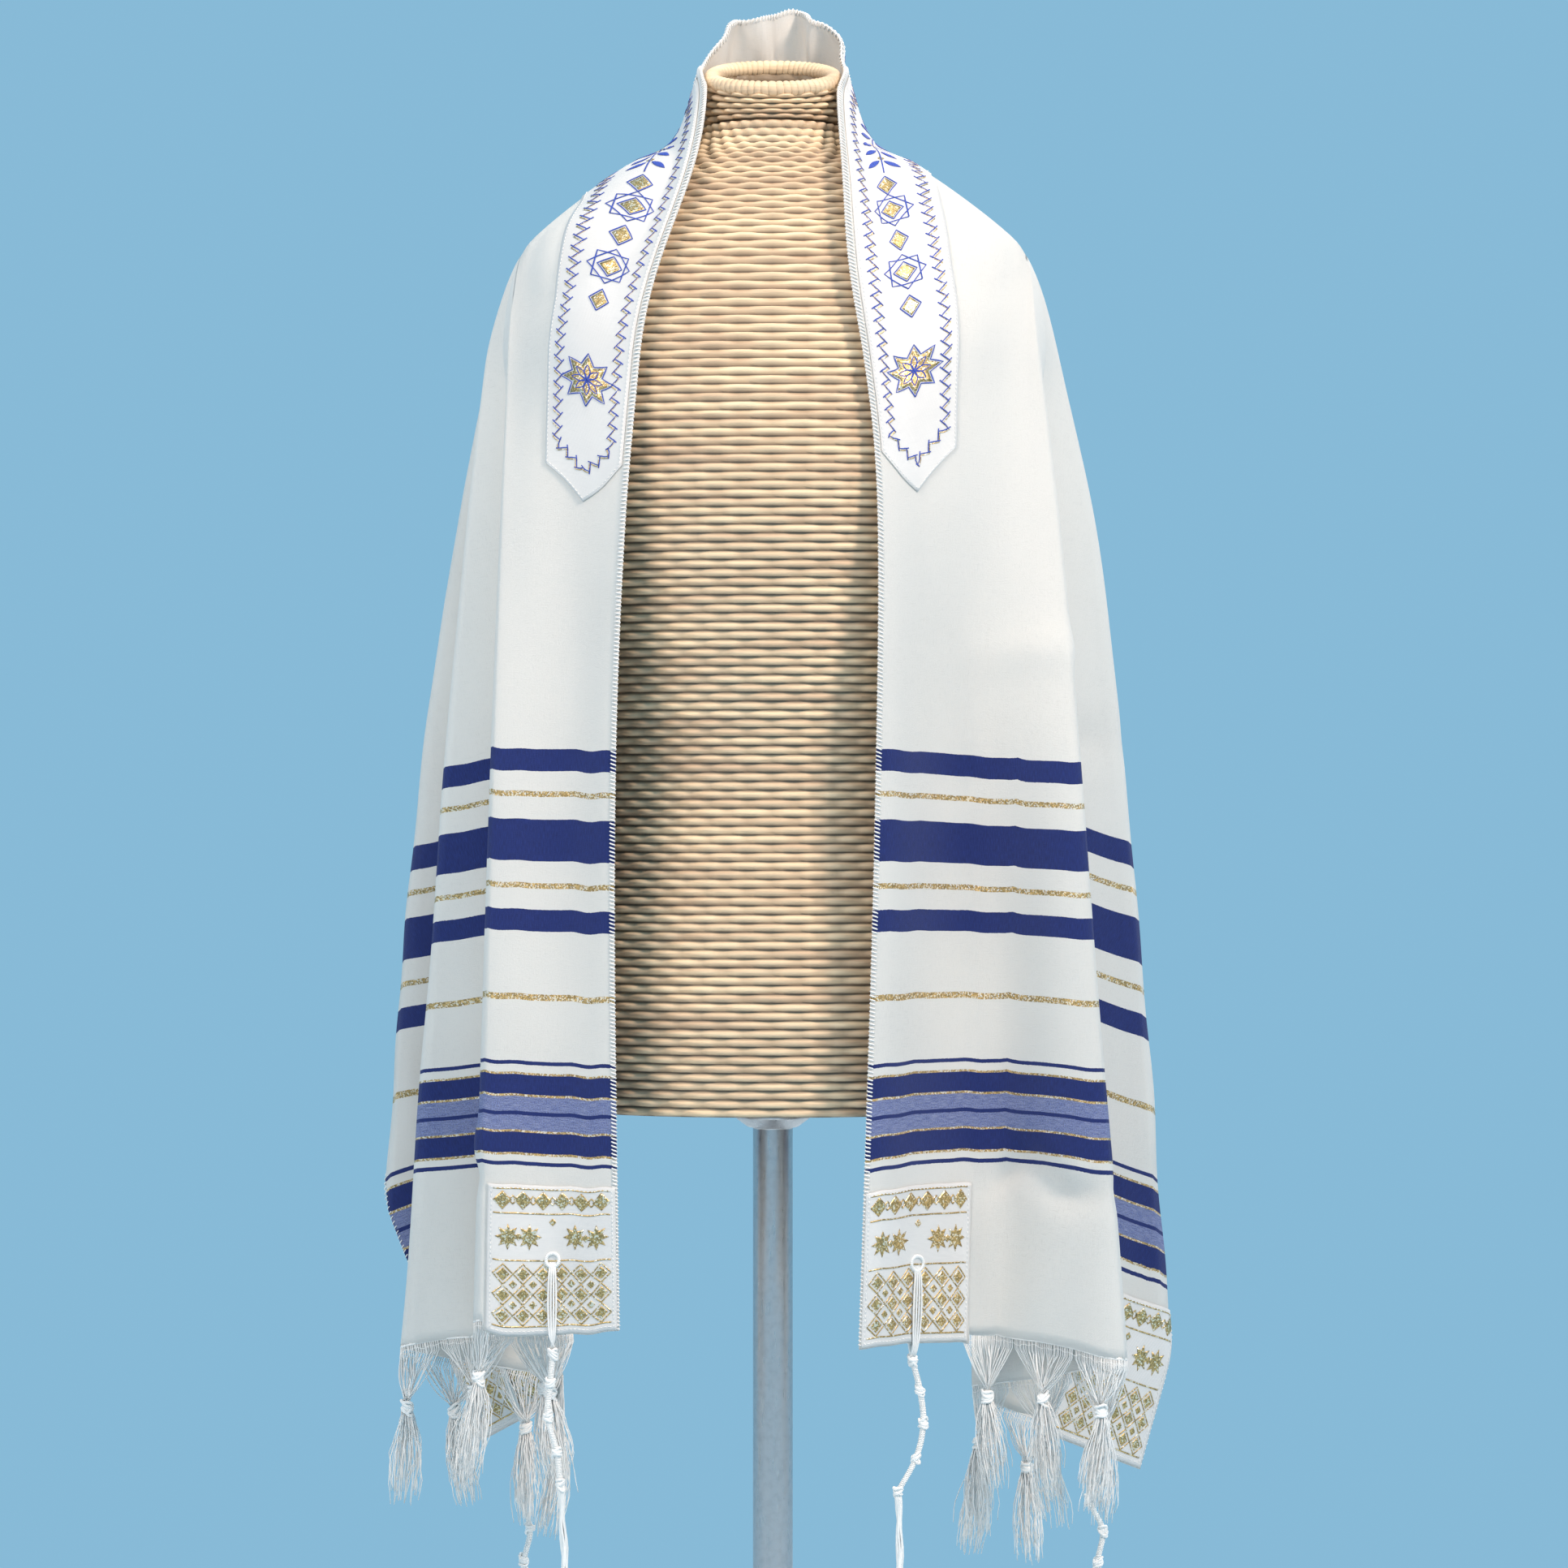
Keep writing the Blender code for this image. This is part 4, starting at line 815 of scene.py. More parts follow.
        lines[..., 0] *= self.side.sign
        fallen = lengths_along(lines)
        slack = 0.001 * np.interp(keys, self.anchors, [0, *(f.slack for f in self.side.folds), 0])
        at = self.distances[None] - slack[:, None] * np.clip(self.distances / self.SLACK_REACH, 0, 1)[None]
        at = at + self.settled()
        places = np.empty((len(keys), len(self.distances), 3))
        for i in range(len(keys)):
            for axis in range(3):
                places[i, :, axis] = np.interp(at[i], fallen[:, i], lines[:, i, axis])
        before = places[:, 2:3] - places[:, 3:4]
        places[:, :2] = places[:, 2:3] + before * np.array([2, 1])[None, :, None]
        return places

    def outwards(self, places):
        """Directions out of the cloth: across the lines times down the lines."""
        down = np.gradient(places, axis=1)
        along = np.gradient(places, axis=0)
        outs = np.cross(down, along) * self.side.sign
        size = np.linalg.norm(outs, axis=2)
        fan = (self.keys > -1e-6) & (self.keys < 1 + 1e-6)
        steady = 2 + int(self.STEADY_REACH / self.STEP)
        outs = unit(outs)
        outs[fan, :steady] = outs[fan, steady : steady + 1]
        mean = outs.copy()
        mean[1:-1] += outs[:-2] * 0.5 + outs[2:] * 0.5
        mean[size < 1e-12] += 1e-9
        return unit(mean)

    def flats(self, keys, distances):
        """The flat places (along, across) that distances down thread lines reach."""
        side = self.side
        share = self.ridge_share(keys)
        ridge_along = NECK_ALONG + (side.tip_along - NECK_ALONG) * share
        ridge_across = side.tip_across * share
        angle = np.clip(keys, 0, 1) * math.pi / 2
        in_fan = (keys > 0) & (keys < 1)
        along = np.where(
            keys <= 0,
            ridge_along + distances,
            np.where(in_fan, ridge_along + distances * np.cos(angle), side.tip_along - (keys - 1)),
        )
        across = np.where(
            keys <= 0,
            ridge_across + 0 * distances,
            np.where(in_fan, ridge_across + distances * np.sin(angle), ridge_across + distances),
        )
        return np.stack([along, across], axis=-1)

    def settled(self):
        """How far each place of the table has settled: the side's figures, smooth from key to key."""
        above = 1000 * (HALF_LENGTH - self.flats(self.keys[:, None], self.distances[None])[..., 0])
        knots = [settle.key for settle in self.side.settle]
        keys = np.clip(self.keys, knots[0], knots[-1])
        figures = smooth_curve(keys, knots, [(*settle[1:], 0) for settle in self.side.settle])
        return 0.001 * np.stack([np.interp(a, SETTLE_HEIGHTS, f) for a, f in zip(above, figures)])

    def relief(self):
        """Height of the cloth's soft dents, each a bell, and of long low ripples, a sum of sines
        that grows towards the hem, over the table's places."""
        flat = self.flats(self.keys[:, None], self.distances[None]) * 1000
        above, across = HALF_LENGTH * 1000 - flat[..., 0], flat[..., 1]
        height = np.zeros(above.shape)
        for dent in DENTS:
            if dent.sign != self.side.sign:
                continue
            lean = math.radians(dent.lean)
            a, b = above - dent.above_hem, across - dent.across
            length = (b * math.cos(lean) + a * math.sin(lean)) / dent.length
            width = (a * math.cos(lean) - b * math.sin(lean)) / dent.width
            height += 0.001 * dent.height * np.exp(-0.5 * (length**2 + width**2))
        grow = np.clip((560 - above) / 560, 0, 1)
        phase = 1.3 * self.side.sign
        for number, length in enumerate(RIPPLE_LENGTHS):
            wave = across / (1000 * length) + 0.0006 * above * (number - 1)
            height += RIPPLE_HEIGHT * grow * np.sin(2 * math.pi * wave + phase * (number + 1)) / (number + 1)
        return height

    def line_of(self, along, across):
        """(keys, distances) of flat places on this half."""
        side = self.side
        ridge = NECK_ALONG + (side.tip_along - NECK_ALONG) * across / side.tip_across
        in_front = (across <= side.tip_across) & (along >= ridge)
        in_fan = (across > side.tip_across) & (along > side.tip_along)
        b, a = across - side.tip_across, along - side.tip_along
        keys = np.where(in_front, b, np.where(in_fan, np.arctan2(b, a) * 2 / math.pi, 1 - a))
        behind = across - side.tip_across * self.ridge_share(np.maximum(keys, 1))
        return keys, np.where(in_front, along - ridge, np.where(in_fan, np.hypot(a, b), behind))

    def at(self, along, across, lift):
        """Places in space of flat places, read between four neighbours of the table."""
        keys, distances = self.line_of(along, across)
        i = np.clip(np.searchsorted(self.keys, keys) - 1, 0, len(self.keys) - 2)
        u = ((keys - self.keys[i]) / (self.keys[i + 1] - self.keys[i]))[..., None]
        step = distances / self.STEP + 2
        j = np.clip(step.astype(int), 0, len(self.distances) - 2)
        v = (step - j)[..., None]

        def between(table):
            near = table[i, j] * (1 - v) + table[i, j + 1] * v
            far = table[i + 1, j] * (1 - v) + table[i + 1, j + 1] * v
            return near * (1 - u) + far * u

        return between(self.places) + np.asarray(lift)[..., None] * unit(between(self.outs))


@functools.cache
def halves():
    return {side.sign: HungHalf(side) for side in SIDES}


def hang(flats, lift=0.0):
    """Places in space of flat places (..., 2), moved out of the cloth's middle by lift."""
    flats = np.asarray(flats, float)
    lift = np.broadcast_to(np.asarray(lift, float), flats.shape[:-1])
    along, across = flats[..., 0], flats[..., 1]
    right, left = (halves()[sign].at(np.abs(along), across, lift) for sign in (1, -1))
    places = np.where((along >= 0)[..., None], right, left)
    fade = np.clip(1 - (TOP_HEIGHT - places[..., 2]) / COLLAR_RISE_DEPTH, 0, 1)
    behind = np.clip(places[..., 1] / COLLAR_BACK_DEPTH, 0, 1)
    knots, heights = zip(*COLLAR_RISE)
    rise = smooth_curve(np.clip(places[..., 0] * 1000, knots[0], knots[-1]), knots, heights)
    places[..., 2] += 0.001 * rise * fade * behind
    return places


def out_of_cloth(flats):
    return unit(hang(flats, 0.001) - hang(flats))


# ---------------------------------------------------------------- materials


class Finish:
    """Short calls that lay out one material's nodes."""

    def __init__(self, name, colour, roughness, metallic=0.0):
        self.material = bpy.data.materials.new(name)
        self.material.use_nodes = True
        self.tree = self.material.node_tree
        self.shader = self.tree.nodes["Principled BSDF"]
        self.shader.inputs["Base Color"].default_value = (*colour, 1)
        self.shader.inputs["Roughness"].default_value = roughness
        self.shader.inputs["Metallic"].default_value = metallic

    def node(self, kind, inputs=(), **options):
        made = self.tree.nodes.new(kind)
        for key, value in options.items():
            setattr(made, key, value)
        for key, value in dict(inputs).items():
            if isinstance(value, bpy.types.NodeSocket):
                self.tree.links.new(value, made.inputs[key])
            else:
                made.inputs[key].default_value = value
        return made

    def math(self, operation, a, b=0.0, c=0.0):
        return self.node("ShaderNodeMath", {0: a, 1: b, 2: c}, operation=operation).outputs[0]

    def mix(self, share, a, b):
        """Colour a where share is 0, colour b where it is 1."""
        inputs = {0: share, 6: a, 7: b}
        return self.node("ShaderNodeMix", inputs, data_type="RGBA").outputs[2]

    def stretched(self, where, stretch):
        return self.node("ShaderNodeMapping", {"Vector": where, "Scale": stretch}).outputs[0]

    def place(self, stretch=(1, 1, 1)):
        """Object coordinates, stretched by a Mapping node."""
        return self.stretched(self.node("ShaderNodeTexCoord").outputs["Object"], stretch)

    def flat(self, stretch=(1, 1, 1)):
        """The piece's own flat coordinates, in metres, stretched by a Mapping node."""
        return self.stretched(self.node("ShaderNodeUVMap", uv_map="flat").outputs[0], stretch)

    def noise(self, where, scale, detail=2.0, roughness=0.5):
        inputs = {"Vector": where, "Scale": scale, "Detail": detail, "Roughness": roughness}
        return self.node("ShaderNodeTexNoise", inputs).outputs["Fac"]

    def cells(self, where, scale):
        """Random colour of each cell, as a value from 0 to 1."""
        made = self.node("ShaderNodeTexVoronoi", {"Vector": where, "Scale": scale})
        return self.node("ShaderNodeSeparateColor", {0: made.outputs["Color"]}).outputs[0]

    def between(self, value, low, high, to_low=0.0, to_high=1.0):
        inputs = {"Value": value, "From Min": low, "From Max": high, "To Min": to_low, "To Max": to_high}
        return self.node("ShaderNodeMapRange", inputs).outputs["Result"]

    def tones(self, value, low, high, colour, first, last):
        """first times the colour where the value is low, last times the colour where it is high."""
        return self.mix(self.between(value, low, high), scaled(colour, first), scaled(colour, last))

    def bump(self, height, strength, distance):
        inputs = {"Height": height, "Strength": strength, "Distance": distance}
        made = self.node("ShaderNodeBump", inputs)
        self.tree.links.new(made.outputs[0], self.shader.inputs["Normal"])

    def set(self, **values):
        """Sockets of the shader, by name with _ for a space; a node's output is linked."""
        for key, value in values.items():
            socket = self.shader.inputs[key.replace("_", " ")]
            if isinstance(value, bpy.types.NodeSocket):
                self.tree.links.new(value, socket)
            else:
                socket.default_value = value
        return self


def scaled(colour, share):
    return (*(min(c * share, 1) for c in colour), 1)


def painted_glints(finish, where, colour):
    """Metallic yarn: small cells from dark to bright, a few pale or coppery ones among them. The cells'
    brightness is painted glint and shade of the yarn's facets.
    """
    flake = finish.cells(where, 1500)
    other = finish.cells(where, 1130)
    tone = finish.tones(flake, 0.25, 0.95, colour, 0.55, 1.35)
    pale = finish.math("GREATER_THAN", other, 0.82)
    return finish.mix(pale, tone, (0.92, 0.84, 0.66, 1))


def stripes_mask(finish, height, stripes):
    """1 inside any of the stripes: the greatest of one comparison for each."""
    mask = None
    for far, near in stripes:
        inside = finish.math("COMPARE", height, (far + near) / 2000, (far - near) / 2000)
        mask = inside if mask is None else finish.math("MAXIMUM", mask, inside)
    return mask


@functools.cache
def cloth_finish():
    """Woven wool: undyed ground, blue, chambray and metallic stripes across both ends."""
    s = settings()
    f = Finish("Woven wool", s.cloth_colour, 0.86)
    where = f.flat()
    along, across, _ = f.node("ShaderNodeSeparateXYZ", {0: where}).outputs
    ragged = f.math("SUBTRACT", f.noise(f.flat((260, 2400, 1)), 1.0, 1.0), 0.5)
    above = f.math("SUBTRACT", HALF_LENGTH, f.math("ABSOLUTE", along))
    above = f.math("MULTIPLY_ADD", ragged, 0.0007, above)
    blue = stripes_mask(f, above, BLUE_STRIPES)
    gold = stripes_mask(f, above, GOLD_STRIPES)
    chambray = stripes_mask(f, above, CHAMBRAY_STRIPES)
    warp = f.noise(f.flat((220, 2300, 1)), 1.0, 2.0)
    weft = f.noise(f.flat((2300, 160, 1)), 1.0, 2.0)
    cloudy = f.noise(f.flat(), 9.0, 4.0)
    slub = f.math("MAXIMUM", f.between(warp, 0.56, 0.72), f.between(weft, 0.58, 0.74))
    ground = f.mix(slub, scaled(s.cloth_colour, 1.0), scaled(s.cloth_colour, 0.90))
    ground = f.mix(f.between(cloudy, 0.3, 0.7), ground, scaled(s.cloth_colour, 1.03))
    blue_ground = f.tones(warp, 0.35, 0.75, s.blue_colour, 1, 1.7)
    fleck = f.noise(f.flat((1500, 1500, 1)), 1.0, 1.0)
    mixed = f.tones(fleck, 0.42, 0.66, s.chambray_colour, 0.75, 1.5)
    streak = f.between(weft, 0.42, 0.64)
    mixed = f.mix(f.math("MULTIPLY", streak, 0.40), mixed, (0.46, 0.50, 0.66, 1))
    colour = f.mix(blue, ground, blue_ground)
    colour = f.mix(chambray, colour, mixed)
    # painted glints and shade on the metallic stripes' flakes
    painted_sparkle = painted_glints(f, where, s.gold_colour)
    gap = f.math("GREATER_THAN", f.cells(f.flat((1400, 1500, 1)), 1.0), 0.10)
    shiny = f.math("MULTIPLY", gold, gap)
    colour = f.mix(shiny, colour, painted_sparkle)
    threads = 2 * math.pi / CLOTH_THREAD
    over = f.math("SINE", f.math("MULTIPLY", along, threads))
    under = f.math("SINE", f.math("MULTIPLY", across, threads))
    weave = f.math("MULTIPLY", over, under)
    uneven = f.math("MULTIPLY_ADD", slub, 0.8, weave)
    uneven = f.math("MULTIPLY_ADD", f.noise(where, 420.0, 3.0), 1.6, uneven)
    f.bump(uneven, 0.7, 0.00020)
    f.set(
        Base_Color=colour,
        Metallic=f.math("MULTIPLY", shiny, 0.75),
        Roughness=f.between(shiny, 0, 1, 0.86, 0.36),
        Sheen_Weight=0.06,
        Sheen_Roughness=0.45,
    )
    return f.material


@functools.cache
def satin_finish():
    """White satin: fine ribs across, a soft gloss and faint clouds of grey."""
    s = settings()
    f = Finish("White satin", s.satin_colour, 0.42)
    where = f.flat()
    cloudy = f.noise(where, 22.0, 4.0)
    streak = f.noise(f.flat((2600, 90, 1)), 1.0, 2.0)
    tone = f.tones(cloudy, 0.3, 0.7, s.satin_colour, 0.955, 1.03)
    tone = f.mix(f.between(streak, 0.55, 0.8, 0, 0.6), tone, scaled(s.satin_colour, 0.90))
    along = f.node("ShaderNodeSeparateXYZ", {0: where}).outputs[0]
    rib = f.math("SINE", f.math("MULTIPLY", along, 2 * math.pi / SATIN_RIB))
    f.bump(f.math("MULTIPLY_ADD", streak, 1.5, rib), 0.30, 0.00010)
    f.set(Base_Color=tone, Roughness=f.between(streak, 0.3, 0.7, 0.46, 0.60), Sheen_Weight=0.05)
    return f.material


@functools.cache
def thread_finish():
    """Off-white wool thread: fine plies and a slightly uneven tone."""
    s = settings()
    f = Finish("Wool thread", s.thread_colour, 0.84)
    where = f.place()
    tone = f.noise(where, 90.0, 3.0)
    ply = f.noise(f.place((2600, 2600, 700)), 1.0, 2.0)
    colour = f.tones(tone, 0.3, 0.7, s.thread_colour, 0.93, 1.03)
    colour = f.mix(f.between(ply, 0.5, 0.8, 0, 0.35), colour, scaled(s.thread_colour, 0.86))
    f.bump(ply, 0.5, 0.0002)
    f.set(Base_Color=colour, Sheen_Weight=0.2)
    return f.material


@functools.cache
def blue_thread_finish():
    """Blue pattern thread: short floats of slightly different blues."""
    s = settings()
    base = tuple(c * 2.6 + 0.012 for c in s.blue_colour)
    f = Finish("Blue pattern thread", base, 0.62)
    float_tone = f.noise(f.place((1500, 1500, 2200)), 1.0, 2.0)
    colour = f.tones(float_tone, 0.35, 0.7, base, 0.8, 1.9)
    f.bump(float_tone, 0.4, 0.0001)
    f.set(Base_Color=colour)
    return f.material


@functools.cache
def gold_thread_finish():
    """Metallic pattern yarn: bright and dark flakes of painted glint and shade."""
    s = settings()
    f = Finish("Metallic pattern yarn", s.gold_colour, 0.34, 0.75)
    where = f.place()
    f.bump(f.cells(where, 1300), 0.5, 0.0001)
    # painted glints and shade on the yarn's flakes
    f.set(Base_Color=painted_glints(f, where, s.gold_colour))
    return f.material


@functools.cache
def cane_finish():
    """Split cane: a tone for each strand, long fibres along it and painted shade between the strands, read
    from a mesh attribute.
    """
    s = settings()
    f = Finish("Woven cane", s.cane_colour, 0.52)
    strand = f.noise(f.place((9, 9, 150)), 1.0, 2.0)
    fibre = f.noise(f.place((60, 60, 1500)), 1.0, 3.0)
    blotch = f.noise(f.place(), 36.0, 3.0)
    colour = f.tones(strand, 0.35, 0.66, s.cane_colour, 0.80, 1.25)
    colour = f.mix(f.between(fibre, 0.55, 0.8, 0, 0.6), colour, scaled(s.cane_colour, 0.62))
    colour = f.mix(f.between(blotch, 0.56, 0.75, 0, 0.5), colour, (0.78, 0.62, 0.42, 1))
    # painted shade: where the mesh's attribute is 1 the cane is darkened to a tenth of its colour
    hollow = f.node("ShaderNodeAttribute", attribute_name="hollow").outputs["Fac"]
    colour = f.mix(hollow, colour, scaled(s.cane_colour, 0.10))
    f.bump(fibre, 0.5, 0.0003)
    f.set(Base_Color=colour, Roughness=f.between(fibre, 0.3, 0.7, 0.42, 0.62))
    return f.material


@functools.cache
def metal_finish(name, colour, roughness, grain, metallic):
    """Turned metal: fine rings of a slightly different gloss, with small marks."""
    f = Finish(name, colour, roughness, metallic)
    rings = f.noise(f.place(grain), 1.0, 2.0)
    marks = f.noise(f.place(), 240.0, 4.0)
    f.bump(rings, 0.25, 0.0002)
    f.set(
        Base_Color=f.tones(marks, 0.45, 0.75, colour, 1, 0.88),
        Roughness=f.between(rings, 0.3, 0.7, roughness - 0.08, roughness + 0.1),
    )
    return f.material


# ---------------------------------------------------------------- the cloth


def end_along(across):
    """How far along the weaving goes: short of the hem by the open band above the fringe."""
    fringed = (across > PATCH_ACROSS + 5e-4) & (across < SHAWL_WIDTH - PATCH_ACROSS - 5e-4)
    return HALF_LENGTH - settings().open_band * fringed


def ray_key(beyond, reach):
    """The key of the ray that goes beyond the shoulder tip by so much across and reach along."""
    return math.atan2(beyond, reach) * 2 / math.pi


def grid_keys(half):
    """Keys of the cloth's columns: close together at folds, at the collar and where the fan
    starts, with one on the corner and one to each side of the steps where the fringe begins."""
    side = half.side
    reach = HALF_LENGTH - side.tip_along
    corner = ray_key(SHAWL_WIDTH - side.tip_across, reach)
    beside = [
        across + nudge - side.tip_across
        for across, way in ((PATCH_ACROSS, 1), (SHAWL_WIDTH - PATCH_ACROSS, -1))
        for nudge in (way * STEP_NEAR, way * STEP_FAR)
    ]
    kept = [corner, *(ray_key(b, reach) if b > 0 else b for b in beside)]
    keys = half.fine_keys(*GRID_STEPS)
    near = np.abs(keys[:, None] - np.array(kept)[None]).min(axis=1)
    fan = np.sort([*keys[(near > KEY_GAP) & (keys > 1e-6) & (keys < 1 - 1e-6)], *(k for k in kept if k > 0)])
    extra = np.arange(*EXTRA_KEYS)
    extra = extra[np.abs(extra[:, None] - fan[None]).min(axis=1) > KEY_GAP]
    shares = np.linspace(0, 1, SHOULDER_COLUMNS)
    front = -side.tip_across * shares
    behind = 1 + (half.neck_key - 1) * shares
    collar = np.linspace(half.neck_key, half.last_key, COLLAR_COLUMNS)
    few = [k for k in kept if k <= 0]
    return np.unique(np.round(np.concatenate([front, few, fan, extra, behind, collar]), 7))


def cloth_half(half, row_shares):
    """Flat places of one half's grid: columns run down the thread lines, rows share their length."""
    side = half.side
    keys = grid_keys(half)
    angle = np.clip(keys, 0, 1) * math.pi / 2
    share = half.ridge_share(keys)
    front_across = side.tip_across * share
    with np.errstate(divide="ignore", invalid="ignore"):
        fan_across = side.tip_across + np.tan(angle) * (HALF_LENGTH - side.tip_along)
        fan_down = (end_along(fan_across) - side.tip_along) / np.cos(angle)
        fan_out = (SHAWL_WIDTH - side.tip_across) / np.sin(angle)
    front_length = end_along(front_across) - (NECK_ALONG + (side.tip_along - NECK_ALONG) * share)
    back_length = SHAWL_WIDTH - side.tip_across * share
    in_fan = np.where(angle <= half.corner_angle + 1e-9, fan_down, fan_out)
    lengths = np.where(keys <= 0, front_length, np.where(keys < 1, in_fan, back_length))
    flats = half.flats(keys[:, None], lengths[:, None] * row_shares[None])
    return flats * (side.sign, 1)


def make_shawl():
    """Both halves' grids hung in space and welded down the centre back and along the shoulders.
    Rows lie closer together near the shoulders and again near the hem."""
    row_shares = np.interp(np.linspace(0, 1, CLOTH_ROWS) ** ROW_POWER, *ROW_SHARES)
    parts = []
    for side in SIDES:
        places = cloth_half(halves()[side.sign], row_shares)
        parts.append((places.reshape(-1, 2), grid_faces(*places.shape[:2])))
    flats, quads = joined(parts)
    quads = facing_out(flats, quads)
    made = new_piece("shawl", hang(flats), quads, cloth_finish(), "wool_cloth", ["shawl_body"], flats)
    return wall(made, settings().cloth_wall, 0)


# ---------------------------------------------------------------- edging


def thread_piece(name, parts, nodes=()):
    return new_piece(name, *joined(parts), thread_finish(), "wool_string", nodes)


def edge_coil(edging):
    """A thread wound round the cloth's edge: across it goes as a cosine, through it as a sine."""
    s = settings()
    end = HALF_LENGTH - EDGING_FROM_HEM
    edge = np.array([[-end, edging.across], [end, edging.across]])
    count = int(lengths_along(edge)[-1] / (s.stitch_pitch * edging.pitch)) * edging.steps
    line = resampled(edge, count)
    turn = 2 * np.pi * np.arange(count) / edging.steps
    inside = edging.reach * 0.5 * (1 - np.cos(turn)) - 0.0003
    lift = (s.cloth_wall / 2 + edging.radius * 1.3) * np.sin(turn)
    path = hang(line + inside[:, None] * (0, edging.inwards), lift)
    ahead = np.gradient(hang(line), axis=0)
    return tubes(path[None], edging.radius, 4, unit(ahead)[None])


def make_edges():
    """The wound edging along the neck edge and a finer one along the outer edge."""
    return [thread_piece(edging.name, [edge_coil(edging)]) for edging in EDGINGS]


# ---------------------------------------------------------------- sewn satin and its pattern


def heading(line):
    """The directions along a flat line and to its left."""
    ahead = unit(np.gradient(line, axis=0))
    return ahead, ahead[:, ::-1] * (-1, 1)


def ribbons(lines, width):
    """Strokes of a width along lines of flat places."""
    parts = []
    for line in lines:
        side = heading(line)[1] * width / 2
        flats = np.stack([line - side, line, line + side], axis=1)
        parts.append((flats.reshape(-1, 2), grid_faces(len(line), 3)))
    return joined(parts)


def fills(outlines, rings=4):
    """Filled shapes: rings shrink evenly from each closed outline to its middle."""
    parts = []
    for closed in outlines:
        outline = closed[:-1]
        middle = outline.mean(axis=0)
        share = np.linspace(1, 0, rings + 1)[:, None, None]
        flats = middle + share * (outline - middle)[None]
        parts.append((flats.reshape(-1, 2), grid_faces(rings + 1, len(outline), ring=True)))
    return joined(parts)


def resampled_closed(line, between):
    """Each edge of a closed line in a few even steps; the last point repeats the first."""
    share = np.linspace(0, 1, between, endpoint=False)[None, :, None]
    steps = line[:-1, None] * (1 - share) + line[1:, None] * share
    return np.concatenate([steps.reshape(-1, 2), line[-1:]])


def rosette(outer, inner, between=3):
    """A closed star: corners take turns at the outer and inner radius."""
    corners = np.arange(2 * ROSETTE_POINTS + 1)
    radius = np.where(corners % 2 == 0, outer, inner)
    return resampled_closed(radius[:, None] * circle(np.pi * corners / ROSETTE_POINTS), between)


def lozenge(size, turn=0.0):
    """A closed square of half diagonal size, on its corner where turn is 0."""
    return resampled_closed(size * circle(turn + np.pi / 2 * np.arange(5)), 5)


def leaf(length, width, turn, steps=7):
    """A closed leaf: half widths go as the sine from stem to tip."""
    t = np.linspace(0, 1, steps + 1)
    half = 0.5 * width * np.sin(np.pi * t) ** 0.9
    there, back = np.stack([t * length, half], axis=1), np.stack([t * length, -half], axis=1)
    c, s = math.cos(turn), math.sin(turn)
    return np.concatenate([there, back[-2::-1]]) @ np.array([[c, s], [-s, c]])


def band_border(side, inset, back_from_tip):
    """The line along both edges of the neck band's half, meeting in its point."""
    near, far = BAND_EDGE + inset, BAND_EDGE + BAND_WIDTH - inset
    steep = math.hypot(BAND_POINT, BAND_WIDTH / 2) / (BAND_WIDTH / 2)
    tip = side.band_length - back_from_tip - inset * steep
    shoulder = tip - BAND_POINT * (far - near) / BAND_WIDTH
    middle = (near + far) / 2
    line = np.array([[0, near], [shoulder, near], [tip, middle], [shoulder, far], [0, far]])
    return line * (side.sign, 1)


def zigzag(line):
    """A triangle wave about a line, its corners kept sharp."""
    count = int(round(lengths_along(line)[-1] / ZIGZAG_PERIOD)) * 4
    base = resampled(line, count + 1)
    phase = np.arange(count + 1) / 4 % 1
    wave = 2 * np.abs(2 * phase - 1) - 1
    return base + heading(base)[1] * (wave * ZIGZAG_HEIGHT)[:, None]


def ticks(line, length):
    """Short strokes that cross a line's zigzag at its outer corners."""
    count = int(round(lengths_along(line)[-1] / ZIGZAG_PERIOD))
    base = resampled(line, count * 2 + 1)
    ahead, left = heading(base)
    outer = left * np.where(np.arange(len(base)) % 2 == 0, 1.0, -1.0)[:, None]
    peak = base + outer * ZIGZAG_HEIGHT
    lean = unit(ahead + outer * 0.9)
    share = np.linspace(-0.5, 0.5, 3)[None, :, None]
    return list(peak[:, None] + lean[:, None] * length * share)


class Pattern:
    """Strokes and filled shapes in one colour of thread. Each is drawn round (0, 0) and set down
    along a strip, offset from its middle, the same way up on both halves."""

    def __init__(self, middle, sign):
        self.middle = middle
        self.sign = sign
        self.lines = []
        self.shapes = []

    def placed(self, along, offset, shapes):
        place = (self.sign * along, self.middle + offset)
        return [shape * (self.sign, 1) + place for shape in shapes]

    def draw(self, along, offset, *lines):
        self.lines += self.placed(along, offset, lines)

    def fill(self, along, offset, *shapes):
        self.shapes += self.placed(along, offset, shapes)


